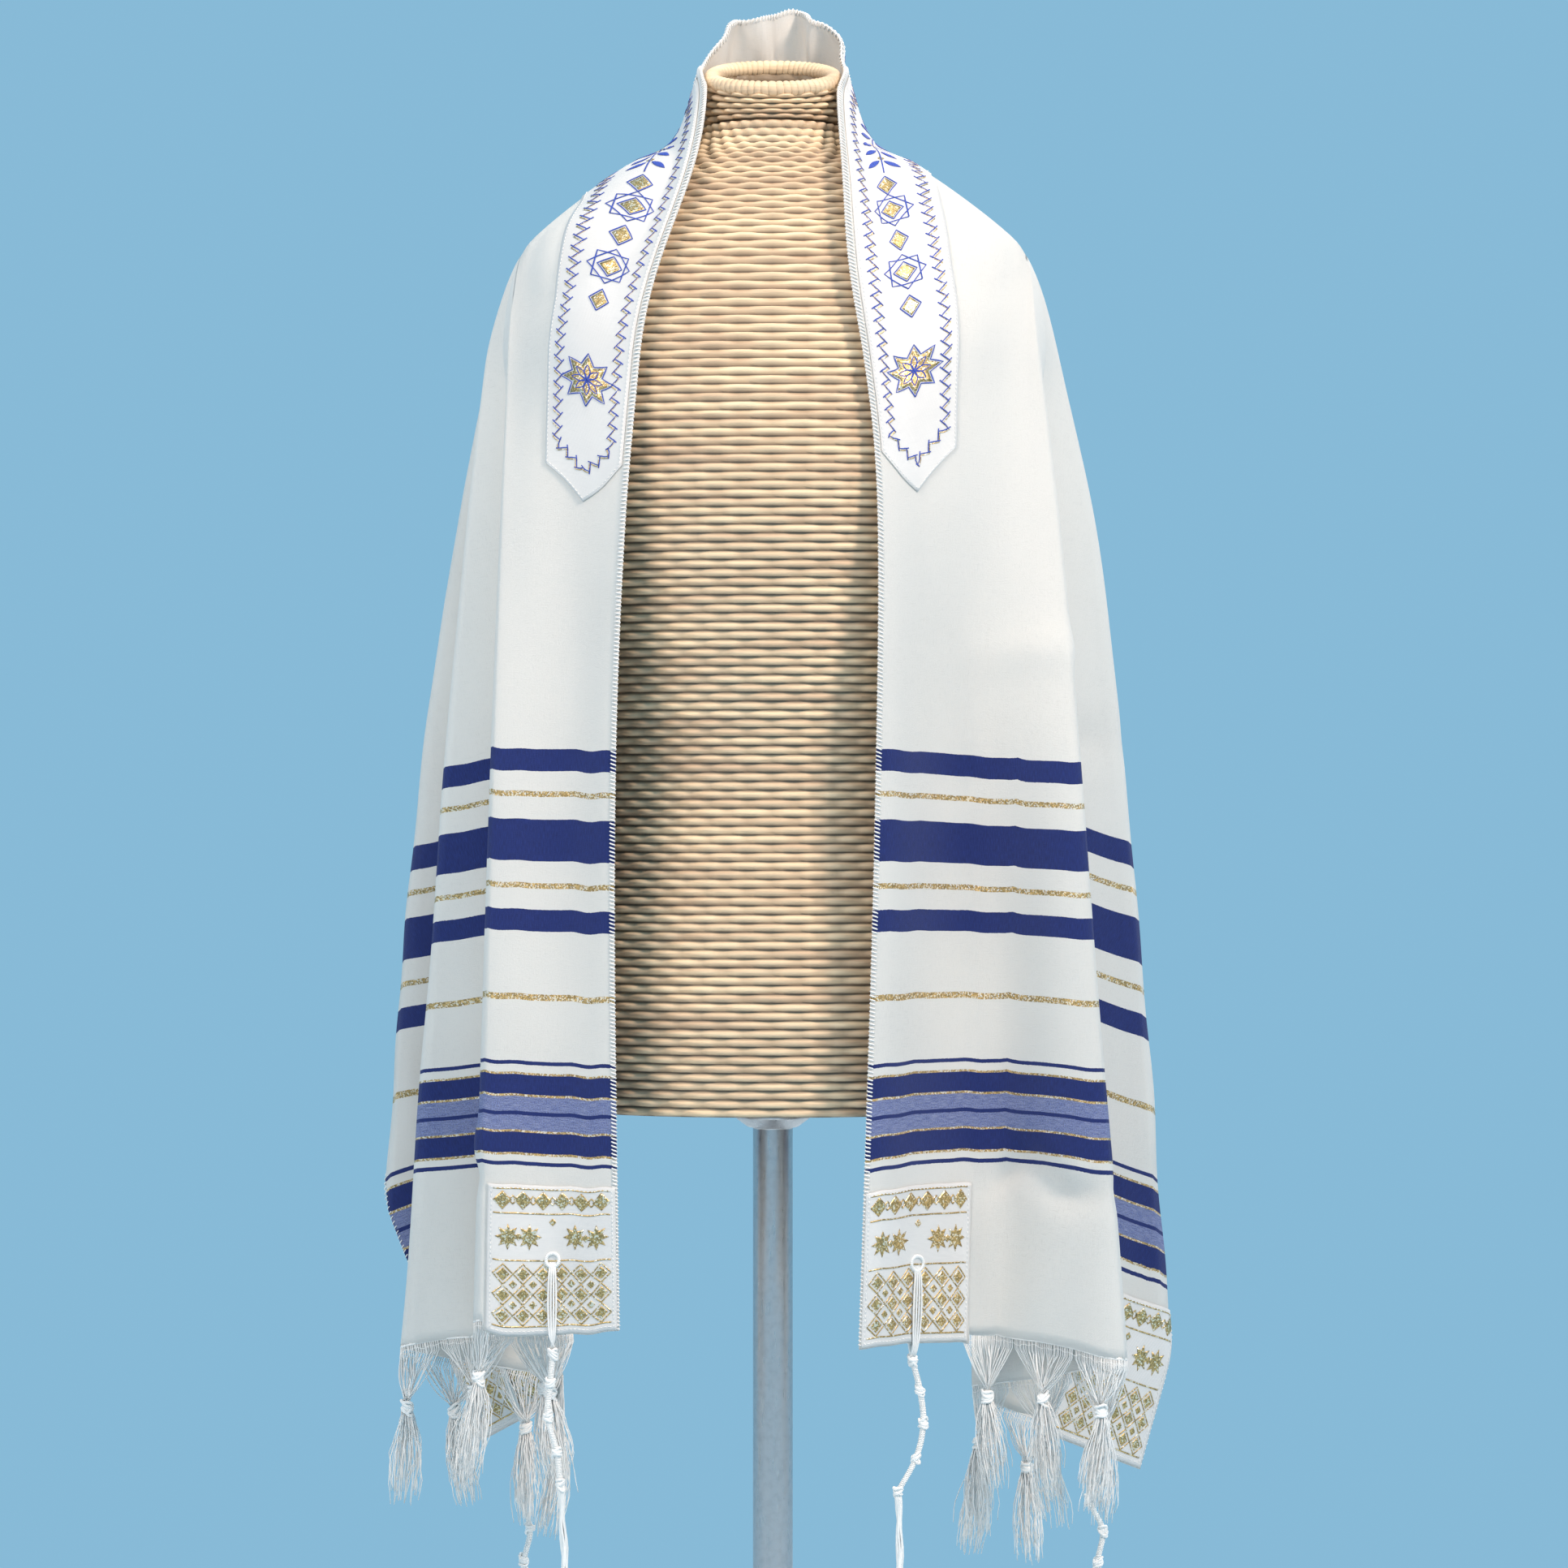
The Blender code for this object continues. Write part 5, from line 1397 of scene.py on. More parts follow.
def band_pattern(side):
    """(blue, gold) patterns of one half of the neck band: a leaf vine, lozenges, two stars and a
    large rosette inside a zigzag border."""
    middle = BAND_EDGE + BAND_WIDTH / 2
    blue, gold = Pattern(middle, side.sign), Pattern(middle, side.sign)
    border = band_border(side, BORDER_INSET, BORDER_FROM_TIP)
    fine = zigzag(border)
    blue.lines += [fine] + ticks(border, 0.0034)
    gold.lines += [fine + (side.sign * 0.0011, 0.0007)]
    end = side.band_length - ROSETTE_FROM_END
    gold.fill(end, 0, rosette(0.0145, 0.0086))
    blue.draw(end, 0, rosette(0.0162, 0.0098), *(leaf(0.0092, 0.0034, np.pi / 4 * i) for i in range(8)))
    for along in STARS:
        gold.fill(along, 0, lozenge(0.0056))
        blue.draw(along, 0, lozenge(0.0118), lozenge(0.0118, np.pi / 4), lozenge(0.0068))
    for along in LOZENGES:
        gold.fill(along, 0, lozenge(0.0058) * (1, 0.8))
        blue.draw(along, 0, lozenge(0.0072) * (1, 0.8))
    for number, along in enumerate(LEAVES):
        for way in (-1, 1):
            blue.fill(along, way * STEM_GAP, leaf(0.0105, 0.0040, math.radians(way * 52)))
        if number % 2 == 0:
            gold.fill(along + 0.0095, 0, lozenge(0.0022))
    blue.draw(0, 0, resampled(np.array(STEM), 60))
    return blue, gold


def band_flats():
    """Flat places of the neck band's grid: even columns, drawn out at both ends into a point."""
    columns, rows = BAND_GRID
    across = np.linspace(0, 1, rows)
    ends = []
    for side in SIDES:
        shoulder = side.band_length - BAND_POINT
        point = BAND_POINT * (1 - np.abs(2 * across - 1)) * np.linspace(0, 1, 9)[1:, None]
        plain = np.broadcast_to(np.linspace(0, shoulder, columns)[:, None], (columns, rows))
        ends.append(side.sign * np.concatenate([plain, shoulder + point]))
    along = np.concatenate([ends[1][:0:-1], ends[0]])
    return np.stack([along, np.broadcast_to(BAND_EDGE + BAND_WIDTH * across, along.shape)], axis=-1)


def satin_lifts():
    """How far the satin's underside and the sewing on it lie from the middle of the cloth."""
    s = settings()
    under = s.cloth_wall / 2 + SATIN_GAP
    return under, under + s.patch_wall + PATTERN_GAP


def satin_piece(name, flats, node):
    quads = grid_faces(*flats.shape[:2])
    flats = flats.reshape(-1, 2)
    places = hang(flats, satin_lifts()[0])
    made = new_piece(name, places, facing_out(flats, quads), satin_finish(), "satin", [node], flats)
    return wall(made, settings().patch_wall, 1)


def pattern_piece(name, parts, lift, material):
    """Pattern strokes and shapes with a wall of their own, so that they are closed."""
    flats, quads = joined(parts)
    made = new_piece(name, hang(flats, lift), facing_out(flats, quads), material, "satin")
    return wall(made, PATTERN_WALL, 1)


def stitch_row(line, pitch, lift):
    """Short round stitches laid end to end along a line, with small gaps."""
    count = int(lengths_along(line)[-1] / pitch)
    fine = resampled(line, count * 6 + 1)
    starts = np.arange(count) * 6
    flats = fine[starts[:, None] + np.arange(len(STITCH_ARCH))[None]]
    paths = hang(flats, lift + np.array(STITCH_ARCH)[None])
    return tubes(paths, STITCH_RADIUS, 4, out_of_cloth(flats))


def make_neck_band():
    """A satin strip along the neck edge, pointed at both ends, with its woven pattern."""
    top = satin_lifts()[1]
    blue_parts, gold_parts, sewing = [], [], []
    for side in SIDES:
        blue, gold = band_pattern(side)
        blue_parts += [ribbons(blue.lines, BLUE_STROKE), fills(blue.shapes, 3)]
        gold_parts += [ribbons(gold.lines, GOLD_STROKE), fills(gold.shapes)]
        sewing.append(stitch_row(band_border(side, BAND_STITCHES.inset, 0), BAND_STITCHES.pitch, top))
    return [
        satin_piece("neck_band_satin", band_flats(), "neck_band"),
        pattern_piece("neck_band_blue_pattern", blue_parts, top + PATTERN_GAP, blue_thread_finish()),
        pattern_piece("neck_band_gold_pattern", gold_parts, top, gold_thread_finish()),
        thread_piece("neck_band_sewing", sewing),
    ]


def patch_outline(sign, outer, inset):
    """Corners of a corner patch, drawn in from its edges."""
    near, far = (SHAWL_WIDTH - PATCH_ACROSS, SHAWL_WIDTH) if outer else (0.0, PATCH_ACROSS)
    low, high = HALF_LENGTH - PATCH_ALONG + inset, HALF_LENGTH - inset
    near, far = near + inset, far - inset
    return np.array([[low, near], [high, near], [high, far], [low, far], [low, near]]) * (sign, 1)


def eyelet_place(sign, outer):
    across = SHAWL_WIDTH - EYELET_FROM_EDGE if outer else EYELET_FROM_EDGE
    return np.array([sign * (HALF_LENGTH - EYELET_FROM_HEM), across])


def patch_pattern(sign, outer):
    """The gold pattern of a patch: a row of lozenges, a row of rosettes and a trellis."""
    gold = Pattern(SHAWL_WIDTH - PATCH_ACROSS / 2 if outer else PATCH_ACROSS / 2, sign)
    row, stars, bottom = (HALF_LENGTH - above for above in (0.0835, 0.0610, 0.0128))
    for number in range(6):
        offset = (number - 2.5) * 0.0128
        gold.fill(row, offset, lozenge(0.0058))
        if number < 5:
            gold.draw(row, offset + 0.0064, lozenge(0.0026))
    for offset in (-0.0285, -0.0150, 0.0150, 0.0285):
        gold.fill(stars, offset, rosette(0.0080, 0.0042, 2))
    for offset, higher in ((-0.0218, 0), (0.0, 0.0095), (0.0218, 0)):
        gold.fill(stars - higher, offset, lozenge(0.0024))
    for above in (0.0755, 0.0465, 0.0060, 0.0905):
        gold.draw(HALF_LENGTH - above, 0, resampled(np.array([[0, -0.0375], [0, 0.0375]]), 24))
    for level in range(3):
        for number in range(6):
            offset = (number - 2.5) * TRELLIS_ACROSS
            along = bottom - level * TRELLIS_ALONG
            gold.fill(along, offset, lozenge(0.0041))
            gold.draw(along, offset, lozenge(0.0062))
            if level < 2 and number < 5:
                gold.fill(along - TRELLIS_ALONG / 2, offset + TRELLIS_ACROSS / 2, lozenge(0.0026))
    return gold


def patch_flats(sign, outer):
    """Flat places of one patch's even grid."""
    box = patch_outline(sign, outer, 0.0010)
    along, across = PATCH_GRID
    grid = np.meshgrid(
        np.linspace(box[0, 0], box[1, 0], along), np.linspace(box[0, 1], box[2, 1], across), indexing="ij"
    )
    return np.stack(grid, axis=-1)


def eyelet_ring(centre, lift):
    """Buttonhole stitches round a hole: a ring whose thickness beats with each stitch."""
    turn = even_turns(112)
    flats = centre + (EYELET_RADIUS + 0.0008) * circle(turn)
    beat = 0.00105 + 0.00018 * np.cos(28 * turn)
    return closed_tubes(hang(flats, lift + 0.0002), beat[:, None], 8, out_of_cloth(flats))


def make_corner_patches():
    """Four satin squares on the corners with sewing, a gold pattern and a worked eyelet."""
    top = satin_lifts()[1]
    pieces, gold, sewing, rings = [], [], [], []
    for edge_name, outer in (("front", False), ("back", True)):
        for side in SIDES:
            name = f"patch_{edge_name}_{side.name}"
            pieces.append(satin_piece(name, patch_flats(side.sign, outer), f"corner_{name}"))
            pattern = patch_pattern(side.sign, outer)
            gold += [ribbons(pattern.lines, PATCH_STROKE), fills(pattern.shapes)]
            line = patch_outline(side.sign, outer, PATCH_STITCHES.inset)
            sewing.append(stitch_row(line, PATCH_STITCHES.pitch, top))
            rings.append(eyelet_ring(eyelet_place(side.sign, outer), top))
    pieces.append(pattern_piece("patch_gold_pattern", gold, top, gold_thread_finish()))
    return [*pieces, thread_piece("patch_sewing", sewing), thread_piece("patch_eyelets", rings)]


# ---------------------------------------------------------------- fringe


def fan_paths(sign, across, knot, random):
    """Threads from the open band over the hem to a knot, sagging and bent as sines."""
    s = settings()
    count = s.fan_threads
    share = (np.arange(count) + random.uniform(-0.25, 0.25, count)) / (count - 1) - 0.5
    hems = np.stack([np.full(count, sign * HALF_LENGTH), across + FRINGE_FAN * share], axis=1)
    tops = hems - (sign * (s.open_band + 0.0012), 0)
    top_points, hem_points = hang(tops, 0.0001), hang(hems)
    begin = knot + (0, 0, 0.004) + random.normal(0, 0.0007, (count, 3))
    t = np.linspace(0, 1, 8)[1:, None, None]
    sag = DOWN * (0.004 * np.sin(np.pi * t) * np.abs(share)[None, :, None])
    bend = random.normal(0, 0.0012, (count, 3)) * np.sin(np.pi * t)
    gather = hem_points * (1 - t) + begin * t + sag + bend
    return np.concatenate([top_points[None], hem_points[None], gather]).transpose(1, 0, 2)


def tail_paths(knot, sway, random):
    """Threads that fall from a knot in a loose bundle that swells and thins out."""
    count = settings().tail_threads
    angle = random.uniform(0, 2 * np.pi, count)
    around = np.sqrt(random.uniform(0, 1, count))
    out = np.stack([np.cos(angle), 0.7 * np.sin(angle), 0 * angle], axis=1) * around[:, None]
    length = FRINGE_TAIL * random.uniform(0.72, 1.12, count)[:, None]
    t = np.linspace(0, 1, TAIL_STEPS)[:, None, None]
    swell = 0.0028 + 0.0062 * np.sin(2.3 * t) + 0.0012 * t
    curl = np.cumsum(random.normal(0, 0.00055, (TAIL_STEPS, count, 3)), axis=0) * (1, 1, 0.2)
    tails = knot + 0.002 * DOWN + out * swell + curl
    tails = tails + np.array([1.0, 0.3, 0]) * sway * t**1.4 + DOWN * length * t
    return tails.transpose(1, 0, 2)


def tassel(number, sign, random):
    """Parts of one tassel: its fan of threads, its loose tail and the knot between them."""
    across = FRINGE_FIRST + FRINGE_STEP * number
    low = hang(np.array([sign * HALF_LENGTH, across]))
    knot = low + DOWN * (FRINGE_DROP + 0.003 * math.sin(2.3 * number + sign))
    fan = fan_paths(sign, across, knot, random)
    tails = tail_paths(knot, 0.007 * math.sin(1.7 * number + 0.9 * sign), random)
    radius = settings().thread_radius
    taper = radius * np.linspace(1, 0.7, TAIL_STEPS)
    return [
        tubes(fan, radius, 3, LEAN),
        tubes(tails, taper, 3, LEAN),
        thread_knot(knot, TASSEL_KNOT, random),
    ]


def thread_knot(centre, knot, random):
    """A small knot: a core and four closed loops that cross it at different leans."""
    size = knot.size
    parts = []
    t = even_turns(20)
    for number in range(4):
        lean = random.uniform(-0.75, 0.75, 2)
        wide = size * random.uniform(0.80, 1.0)
        x, y = wide * np.cos(t), 0.85 * wide * np.sin(t)
        z = 0.25 * size * np.sin(2 * t + number) + lean[0] * x + lean[1] * y + size * (number - 1.5) * 0.42
        parts.append(closed_tubes(centre + np.stack([x, y, z], axis=1), knot.radius, 6, -DOWN))
    angle, height = np.meshgrid(even_turns(10), np.linspace(-1, 1, 7))
    wide = np.sqrt(np.clip(1 - height**2, 0, 1)) * size * 0.92
    ball = np.stack([wide * np.cos(angle), 0.85 * wide * np.sin(angle), height * size * 1.25], axis=-1)
    parts.append((centre + ball.reshape(-1, 3), grid_faces(7, 10, ring=True)[:, ::-1]))
    return joined(parts)


def pick(sign, back, radius, wave):
    """A thread across the cloth, back from the hem, that wanders as two sines."""
    span = np.linspace(PATCH_ACROSS + STEP_FAR, SHAWL_WIDTH - PATCH_ACROSS - STEP_FAR, 190)
    wander = wave * np.sin(span * 900) + wave * np.sin(span * 377)
    flats = np.stack([sign * (HALF_LENGTH - back + wander), span], axis=1)
    return tubes(hang(flats)[None], radius, 5, -DOWN)


def make_fringe():
    """Sixteen tassels, with the last picks that bind the cloth above them."""
    band = settings().open_band
    pieces = []
    for side in SIDES:
        random = np.random.default_rng(SEED + side.sign)
        parts = [part for number in range(FRINGE_COUNT) for part in tassel(number, side.sign, random)]
        parts.append(pick(side.sign, band + 0.0002, LAST_PICK_RADIUS, 0.0))
        parts.append(pick(side.sign, band * 0.5, LOOSE_PICK_RADIUS, LOOSE_PICK_WANDER))
        nodes = [f"fringe_{side.name}_{i + 1}" for i in range(FRINGE_COUNT)]
        pieces.append(thread_piece(f"tassels_{side.name}", parts, nodes))
    return pieces


# ---------------------------------------------------------------- corner cords


def strings_over_patch(chain, first):
    """Four strings a face from the eyelet over the hem to the first knot, spread as a sine."""
    s = settings()
    eyelet = eyelet_place(chain.sign, chain.outer)
    hem = np.array([chain.sign * HALF_LENGTH, eyelet[1]])
    t = np.linspace(0, 1, 9)
    parts = []
    for face, lift in ((1, s.cloth_wall / 2 + s.patch_wall + 0.0014), (-1, -(s.cloth_wall / 2 + 0.0009))):
        for number in range(CORD_STRINGS):
            offset = (number - 1.5) * FLAT_STRING_GAP
            flats = eyelet * (1 - t[:, None]) + hem * t[:, None]
            flats[:, 1] += offset * (0.35 + 0.9 * np.sin(np.pi * np.minimum(t * 0.75 + 0.1, 1)))
            lifts = lift + face * 0.0006 * np.sin(np.pi * t)
            lifts[0] = 0.0002 * face
            on_cloth = hang(flats, lifts)
            below = first + (offset * 0.6, 0, 0.003)
            leave = on_cloth[-1] + (on_cloth[-1] - on_cloth[-2]) * 0.1
            middle = (leave + below) / 2 + 0.0005 * DOWN
            path = resampled(np.concatenate([on_cloth, [leave, middle, below]]), 14)
            parts.append(tubes(path[None], FLAT_STRING_RADIUS, 6, (0.9, 0.2, 0.1), 0.7))
    return parts


def free_strings(chain, end, random):
    """Both ends of each string below the last knot, spreading and drifting as sines, and their
    middle line."""
    count = 2 * CORD_STRINGS
    t = np.linspace(0, 1, STRING_STEPS)[:, None, None]
    number = np.arange(count)[:, None]
    out = np.append(circle(even_turns(count)), 0 * number, axis=1)
    length = CORD_TAIL * random.uniform(0.94, 1.0, count)[:, None]
    length[::3] = CORD_TAIL
    spread = 0.0012 + 0.0010 * t + 0.0004 * np.sin(7 * t + number)
    drift = np.array([1, 0.4, 0]) * 0.0045 * (np.sin(2.7 * t + chain.sign) - math.sin(chain.sign))
    shiver = 0.0005 * np.sin(40 * t + number) * (1, 1, 0)
    tails = end + out * spread + drift + DOWN * length * t + shiver
    radii = STRING_RADIUS * (1 + 0.10 * np.sin(np.arange(STRING_STEPS) * 1.9))
    return tubes(tails.transpose(1, 0, 2), radii, 6, LEAN), (end + drift + DOWN * CORD_TAIL * t)[:, 0]


def corner_cord(chain):
    """(the wound cord with the coil round it and its free strings, the strings and knots on it,
    their middle line)."""
    random = np.random.default_rng(SEED + 7 * chain.sign + 3 * chain.outer)
    eyelet = eyelet_place(chain.sign, chain.outer)
    first = hang(np.array([chain.sign * HALF_LENGTH, eyelet[1]])) + DOWN * CORD_KNOT_DROP
    knotted = strings_over_patch(chain, first)
    out, down = np.array(chain.out, float), np.array(chain.down, float)
    knots = first + 0.001 * np.stack([out, 0.25 * out, -down], axis=1)
    fine = np.linspace(0, down[-1], 260)
    core = smooth_curve(fine, down, knots)
    wound = WOUND_RADIUS + 0.00012 * np.sin(fine * 0.9)
    steps = 8
    t = np.linspace(0, down[-1], int(0.001 * down[-1] / COIL_PITCH) * steps)
    turn = 2 * np.pi * np.arange(len(t)) / steps
    coil = smooth_curve(t, down, knots)
    coil[:, :2] += COIL_RADIUS * circle(turn)
    knotted += [thread_knot(place, CORD_KNOT, random) for place in knots]
    strings, free = free_strings(chain, knots[-1], random)
    parts = [
        tubes(core[None, ::4], wound[None, ::4], 8, (0, 1, 0)),
        tubes(coil[None], COIL_THREAD, 5, -DOWN),
        strings,
    ]
    return parts, knotted, np.concatenate([core[::4], core[-1:], free[1:]])


def make_corner_cords():
    """Four cords, each with the strings and knots on it."""
    pieces = []
    for chain in CORD_CHAINS:
        name = f"{'back' if chain.outer else 'front'}_{'right' if chain.sign > 0 else 'left'}"
        wound, knotted, line = corner_cord(chain)
        node = f"corner_cord_{name}"
        cord = thread_piece(f"cord_{name}", wound, [node])
        strings = thread_piece(f"strings_{name}", knotted, [node])
        pieces += [cord, strings]
    return pieces


# ---------------------------------------------------------------- the dress form


def woven(base, rows, weave):
    """Grid points pushed out as a cane weave: each row is a round strand, a power of a sine across
    it, that goes in front of and behind the stakes as a cosine, out of step with the next row.
    Returns the points and how much painted shade each takes, 0 to 1: most in the valleys between rows, a
    little where a strand goes behind a stake."""
    count, around = base.shape[:2]
    down = np.gradient(base, axis=0)
    along = np.roll(base, -1, axis=1) - np.roll(base, 1, axis=1)
    out = unit(np.cross(down, along))
    row = np.linspace(0, rows, count)[:, None]
    strand = np.abs(np.sin(np.pi * row)) ** 0.55
    number = np.minimum(np.floor(row), rows - 1)
    side = np.cos(weave.stakes / 2 * even_turns(around)[None] + np.pi * number)
    height = weave.depth * (strand - 1) + weave.sway * side * strand
    # painted shade: darkest in the valleys between the rows, a little darker where a strand passes behind a
    # stake
    hollow = np.clip(1.15 - strand * 1.3, 0, 1) * 0.9 + np.clip(-side - 0.3, 0, 1) * 0.25
    return base + out * height[..., None], np.clip(hollow, 0, 1)


def cane_piece(name, points, quads, hollow, node):
    return new_piece(name, points.reshape(-1, 3), quads, cane_finish(), "rattan", [node], hollow=hollow)


def make_torso():
    """Woven body: rows at even distances down the side's profile, closed at both ends by rings
    drawn in to a middle point."""
    drops = np.linspace(FORM_SECTIONS[0].drop, FORM_SECTIONS[-1].drop, 900)
    profile = np.stack([drops, 0.7 * form_section(drops)[:, 0]], axis=1)
    down = lengths_along(profile)
    rows = int(down[-1] / CANE_ROW)
    around, each = 172, 4
    drops = np.interp(np.linspace(0, down[-1], rows * each + 1), down, drops)[:, None]
    sizes = form_section(drops[:, 0])
    base = oval(drops, sizes[:, :1], sizes[:, 1:2], sizes[:, 2:], even_turns(around)[None])
    points, hollow = woven(base, rows, TORSO_WEAVE)
    ends = np.repeat(points[[0, -1]].mean(axis=1, keepdims=True), around, axis=1)
    points = np.concatenate([ends[:1], points, ends[1:]])
    # painted shade: both closing caps and the weave's top row are fully darkened, where the form's inside
    # would show
    dark = np.ones((1, around))
    hollow = np.concatenate([dark, dark, hollow[1:], dark])
    quads = grid_faces(len(points), around, ring=True)
    return cane_piece("wicker_torso", points, quads, hollow, "form_torso")


def neck_ring(shrink, drop, angles):
    """The neck's oval on the rim's plane, which rises behind and falls in front."""
    width, depth = NECK_HALF_WIDTH - shrink, NECK_HALF_DEPTH - shrink
    points = oval(drop, width, depth, depth, angles)
    points[..., 2] += points[..., 1] * math.tan(RIM_TILT)
    return points


def make_neck():
    """Woven neck: an open tube with a woven outside and inside, and its wrapped rim."""
    around, each = 176, 9
    angles = even_turns(around)
    share = np.linspace(0, 1, NECK_ROWS * each + 1)[:, None, None]

    def face(shrink):
        width, depth = NECK_HALF_WIDTH - shrink, NECK_HALF_DEPTH - shrink
        foot = oval(NECK_FOOT_DROP, width, depth, depth, angles)
        return neck_ring(shrink, RIM_DROP + RIM_RADIUS * 0.4, angles)[None] * (1 - share) + foot[None] * share

    outside, shade_out = woven(face(0.0), NECK_ROWS, NECK_WEAVE)
    inside, shade_in = (made[:, ::-1] for made in woven(face(NECK_WALL)[:, ::-1], NECK_ROWS, NECK_LINING))
    # painted shade inside the neck, deepening from 0.72 at the rim to full at the foot
    shade_in = np.maximum(shade_in, np.linspace(0.72, 1, len(inside))[:, None])
    points = np.concatenate([outside[::-1], inside])
    hollow = np.concatenate([shade_out[::-1], shade_in])
    quads = grid_faces(len(points) + 1, around, ring=True)[:, ::-1] % (len(points) * around)
    neck = cane_piece("wicker_neck", points, quads, hollow, "form_neck")
    angles = even_turns(720)
    up = np.array([0, -math.sin(RIM_TILT), math.cos(RIM_TILT)])
    wraps = RIM_WRAPS * angles[:, None] + 0.6 * np.sin(even_turns(14))[None]
    ridge = np.abs(np.cos(wraps / 2)) ** 0.5
    size = RIM_RADIUS * (0.84 + 0.20 * ridge)
    points, quads = closed_tubes(neck_ring(NECK_WALL / 2, RIM_DROP, angles), size, 14, up)
    # painted shade in the grooves between the rim's wraps
    rim = cane_piece("wicker_rim", points, quads, np.clip(0.75 - 1.6 * ridge, 0, 1), "form_neck_rim")
    return [neck, rim]


# ---------------------------------------------------------------- the stand


def lathe(profile, sides):
    """A profile of (radius, height) turned about the upright axis, closed where it meets the axis."""
    rings = profile[:, :1, None] * circle(even_turns(sides))
    heights = np.broadcast_to(profile[:, 1:, None], (*rings.shape[:2], 1))
    points = np.concatenate([rings, heights], axis=2)
    return points.reshape(-1, 3), grid_faces(len(profile), sides, ring=True)[:, ::-1]


def rounded(profile, radius, steps):
    """Each inner corner of a profile replaced by a quadratic bend as wide as radius."""
    made = [profile[0]]
    for before, corner, after in zip(profile, profile[1:], profile[2:]):
        reach = [min(radius, 0.45 * np.linalg.norm(end - corner)) for end in (before, after)]
        start = corner + unit(before - corner) * reach[0]
        stop = corner + unit(after - corner) * reach[1]
        t = np.linspace(0, 1, steps)[:, None]
        made += list((1 - t) ** 2 * start + 2 * t * (1 - t) * corner + t**2 * stop)
    return np.array([*made, profile[-1]])


def turned_piece(name, profile, bend, sides, material):
    points, quads = lathe(rounded(np.array(profile), *bend)[::-1], sides)
    return new_piece(name, points, quads, material, name, [f"stand_{name}"])


def make_stand():
    """A steel pole with two collars on a cast base with a crowned top."""
    top = TOP_HEIGHT - FORM_SECTIONS[-1].drop
    foot = BASE_CROWN + 0.0003
    wide = POLE_RADIUS
    pole = (
        (0, top), (wide * 1.9, top), (wide * 1.9, top - 0.006), (wide * 1.25, top - 0.012),
        (wide, top - 0.012), (wide, foot + 0.030), (wide * 1.35, foot + 0.026),
        (wide * 1.35, foot + 0.006), (wide * 1.75, foot + 0.004), (wide * 1.75, foot), (0, foot),
    )
    base = (
        (0, BASE_CROWN), (wide * 1.8, BASE_CROWN), (BASE_RADIUS * 0.55, BASE_CROWN - 0.004),
        (BASE_RADIUS - 0.010, BASE_EDGE + 0.0035), (BASE_RADIUS - 0.004, BASE_EDGE + 0.002),
        (BASE_RADIUS, BASE_EDGE - 0.002), (BASE_RADIUS, 0.0015), (BASE_RADIUS - 0.0015, 0), (0, 0),
    )
    steel = metal_finish("Brushed steel", (0.56, 0.56, 0.57), 0.34, (700, 700, 60), 1.0)
    iron = metal_finish("Cast iron", (0.055, 0.053, 0.052), 0.48, (300, 300, 300), 0.6)
    return [
        turned_piece("pole", pole, (0.0012, 4), 64, steel),
        turned_piece("base", base, (0.003, 5), 128, iron),
    ]


# ---------------------------------------------------------------- the stage


def softbox(light):
    """An area light at its place, turned to look at its aim."""
    lamp = bpy.data.lights.new(light.name, "AREA")
    lamp.shape = "RECTANGLE"
    lamp.size, lamp.size_y = light.size
    lamp.energy = light.power
    lamp.color = light.colour
    made = added(light.name, lamp)
    x, y, z = np.subtract(light.aim, light.place)
    made.location = light.place
    made.rotation_euler = (math.atan2(math.hypot(x, y), -z), 0, math.atan2(y, x) - math.pi / 2)


def make_floor():
    """A pale round floor just under the stand."""
    colour = settings().floor_colour
    rings = np.array(FLOOR_RINGS)[:, None, None] * circle(even_turns(FLOOR_SIDES))
    points = np.concatenate([rings, np.full((*rings.shape[:2], 1), -FLOOR_DROP)], axis=2).reshape(-1, 3)
    first, quads, triangles = welded(points, grid_faces(len(FLOOR_RINGS), FLOOR_SIDES, ring=True))
    mesh = bpy.data.meshes.new("floor")
    fill_mesh(mesh, points[first], quads, triangles)
    f = Finish("Floor", colour, 0.7)
    f.set(Base_Color=f.mix(f.noise(f.place(), 3.0), scaled(colour, 0.97), scaled(colour, 1.03)))
    mesh.materials.append(f.material)
    added("floor", mesh)


def make_stage():
    """A pale floor, soft light from the front, above and behind, and the camera."""
    scene = bpy.context.scene
    make_floor()
    world = bpy.data.worlds.new("soft surroundings")
    world.use_nodes = True
    background = world.node_tree.nodes["Background"]
    background.inputs["Color"].default_value = SURROUND_COLOUR
    background.inputs["Strength"].default_value = SURROUND_STRENGTH
    scene.world = world
    for light in LIGHTS:
        softbox(light)
    camera = bpy.data.cameras.new("camera")
    camera.sensor_width = SENSOR_WIDTH
    camera.lens = SENSOR_WIDTH * FOCAL_PIXELS / FRAME_PIXELS
    made = added("camera", camera)
    made.location = CAMERA_PLACE
    made.rotation_euler = (math.pi / 2, 0, 0)
    scene.camera = made
    scene.view_settings.view_transform = "Standard"
    scene.view_settings.look = "None"


# ---------------------------------------------------------------- operators


class BuildOperator:
    """Runs one make function; what it raises stops the operator."""

    bl_options = {"REGISTER", "UNDO"}

    def execute(self, context):
        type(self).make()
        return {"FINISHED"}


class TALLIT_OT_shawl(BuildOperator, bpy.types.Operator):
    """Hang the woven cloth"""

    bl_idname = "tallit.shawl"
    bl_label = "Shawl"
    make = staticmethod(make_shawl)


class TALLIT_OT_edges(BuildOperator, bpy.types.Operator):
    """Wind thread round the neck edge and the outer edge"""

    bl_idname = "tallit.edges"
    bl_label = "Edge stitching"
    make = staticmethod(make_edges)


class TALLIT_OT_neck_band(BuildOperator, bpy.types.Operator):
    """Sew on the satin neck band with its pattern"""

    bl_idname = "tallit.neck_band"
    bl_label = "Neck band"
    make = staticmethod(make_neck_band)


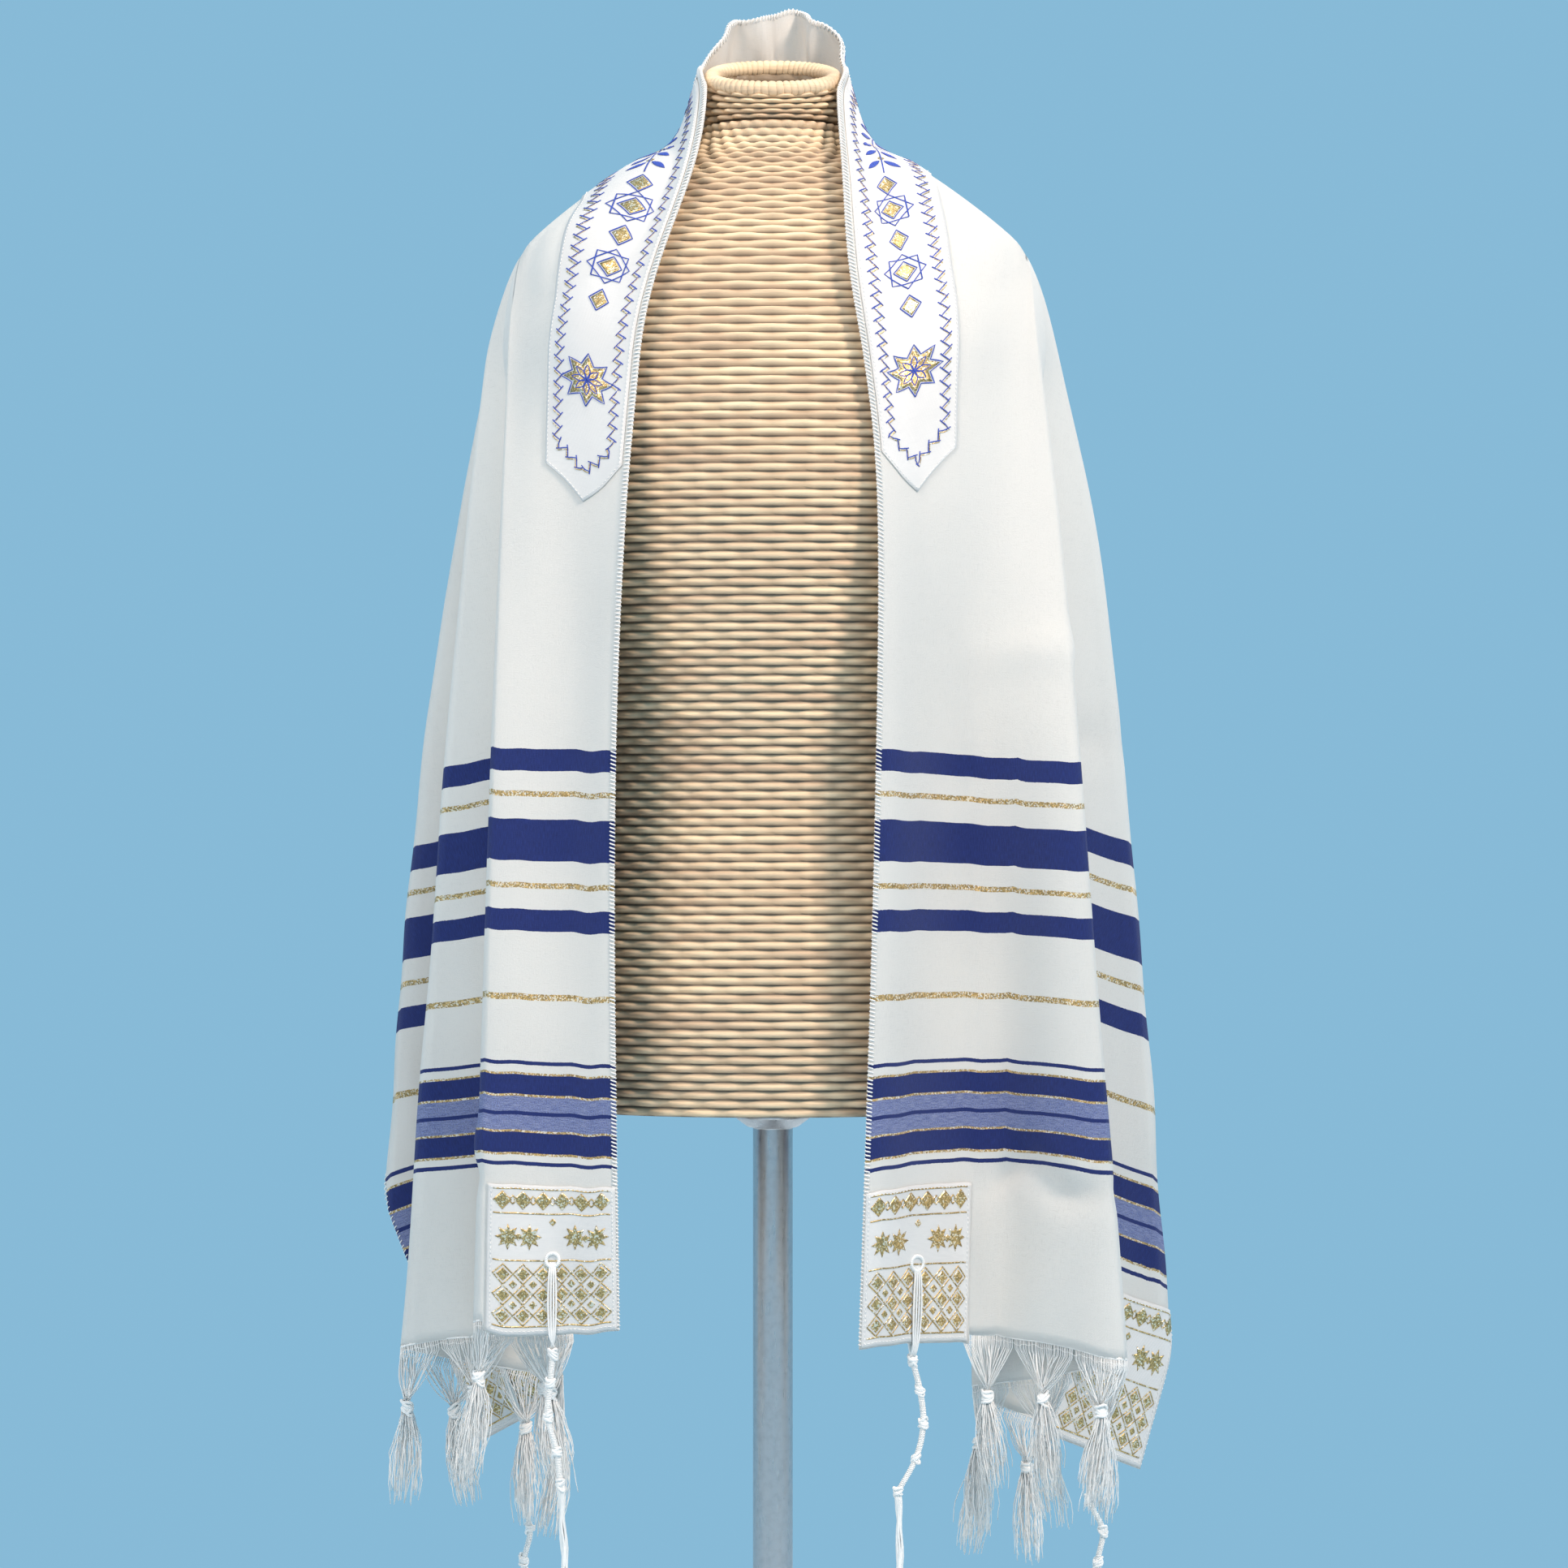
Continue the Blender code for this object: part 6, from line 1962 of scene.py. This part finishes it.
class TALLIT_OT_corner_patches(BuildOperator, bpy.types.Operator):
    """Sew on the four corner patches with pattern and eyelets"""

    bl_idname = "tallit.corner_patches"
    bl_label = "Corner patches"
    make = staticmethod(make_corner_patches)


class TALLIT_OT_fringe(BuildOperator, bpy.types.Operator):
    """Knot the tassels along both hems"""

    bl_idname = "tallit.fringe"
    bl_label = "Fringe"
    make = staticmethod(make_fringe)


class TALLIT_OT_corner_cords(BuildOperator, bpy.types.Operator):
    """Tie the wound and knotted cords through the corner eyelets"""

    bl_idname = "tallit.corner_cords"
    bl_label = "Corner cords"
    make = staticmethod(make_corner_cords)


class TALLIT_OT_torso(BuildOperator, bpy.types.Operator):
    """Weave the dress form's body"""

    bl_idname = "tallit.torso"
    bl_label = "Wicker torso"
    make = staticmethod(make_torso)


class TALLIT_OT_neck(BuildOperator, bpy.types.Operator):
    """Weave the dress form's neck and wrap its rim"""

    bl_idname = "tallit.neck"
    bl_label = "Wicker neck"
    make = staticmethod(make_neck)


class TALLIT_OT_stand(BuildOperator, bpy.types.Operator):
    """Turn the pole and the base"""

    bl_idname = "tallit.stand"
    bl_label = "Stand"
    make = staticmethod(make_stand)


class TALLIT_OT_stage(BuildOperator, bpy.types.Operator):
    """Lay the floor, set the lights and the camera"""

    bl_idname = "tallit.stage"
    bl_label = "Stage"
    make = staticmethod(make_stage)


OPERATORS = (
    TALLIT_OT_stage,
    TALLIT_OT_shawl,
    TALLIT_OT_edges,
    TALLIT_OT_neck_band,
    TALLIT_OT_corner_patches,
    TALLIT_OT_fringe,
    TALLIT_OT_corner_cords,
    TALLIT_OT_torso,
    TALLIT_OT_neck,
    TALLIT_OT_stand,
)


class TALLIT_PT_panel(bpy.types.Panel):
    """Lists the pieces in the order they are made, with the sizes and colours."""

    bl_label = "Tallit"
    bl_idname = "TALLIT_PT_panel"
    bl_space_type = "VIEW_3D"
    bl_region_type = "UI"
    bl_category = "Tallit"

    def draw(self, context):
        for name in TallitSettings.__annotations__:
            self.layout.prop(context.scene.tallit, name)
        for operator in OPERATORS:
            self.layout.operator(operator.bl_idname)


CLASSES = (TallitSettings, *OPERATORS, TALLIT_PT_panel)


def register():
    for made in CLASSES:
        bpy.utils.register_class(made)
    bpy.types.Scene.tallit = bpy.props.PointerProperty(type=TallitSettings)


def unregister():
    del bpy.types.Scene.tallit
    for made in reversed(CLASSES):
        bpy.utils.unregister_class(made)


def main():
    register()
    for operator in OPERATORS:
        group, name = operator.bl_idname.split(".")
        getattr(getattr(bpy.ops, group), name)()


if __name__ == "__main__":
    main()
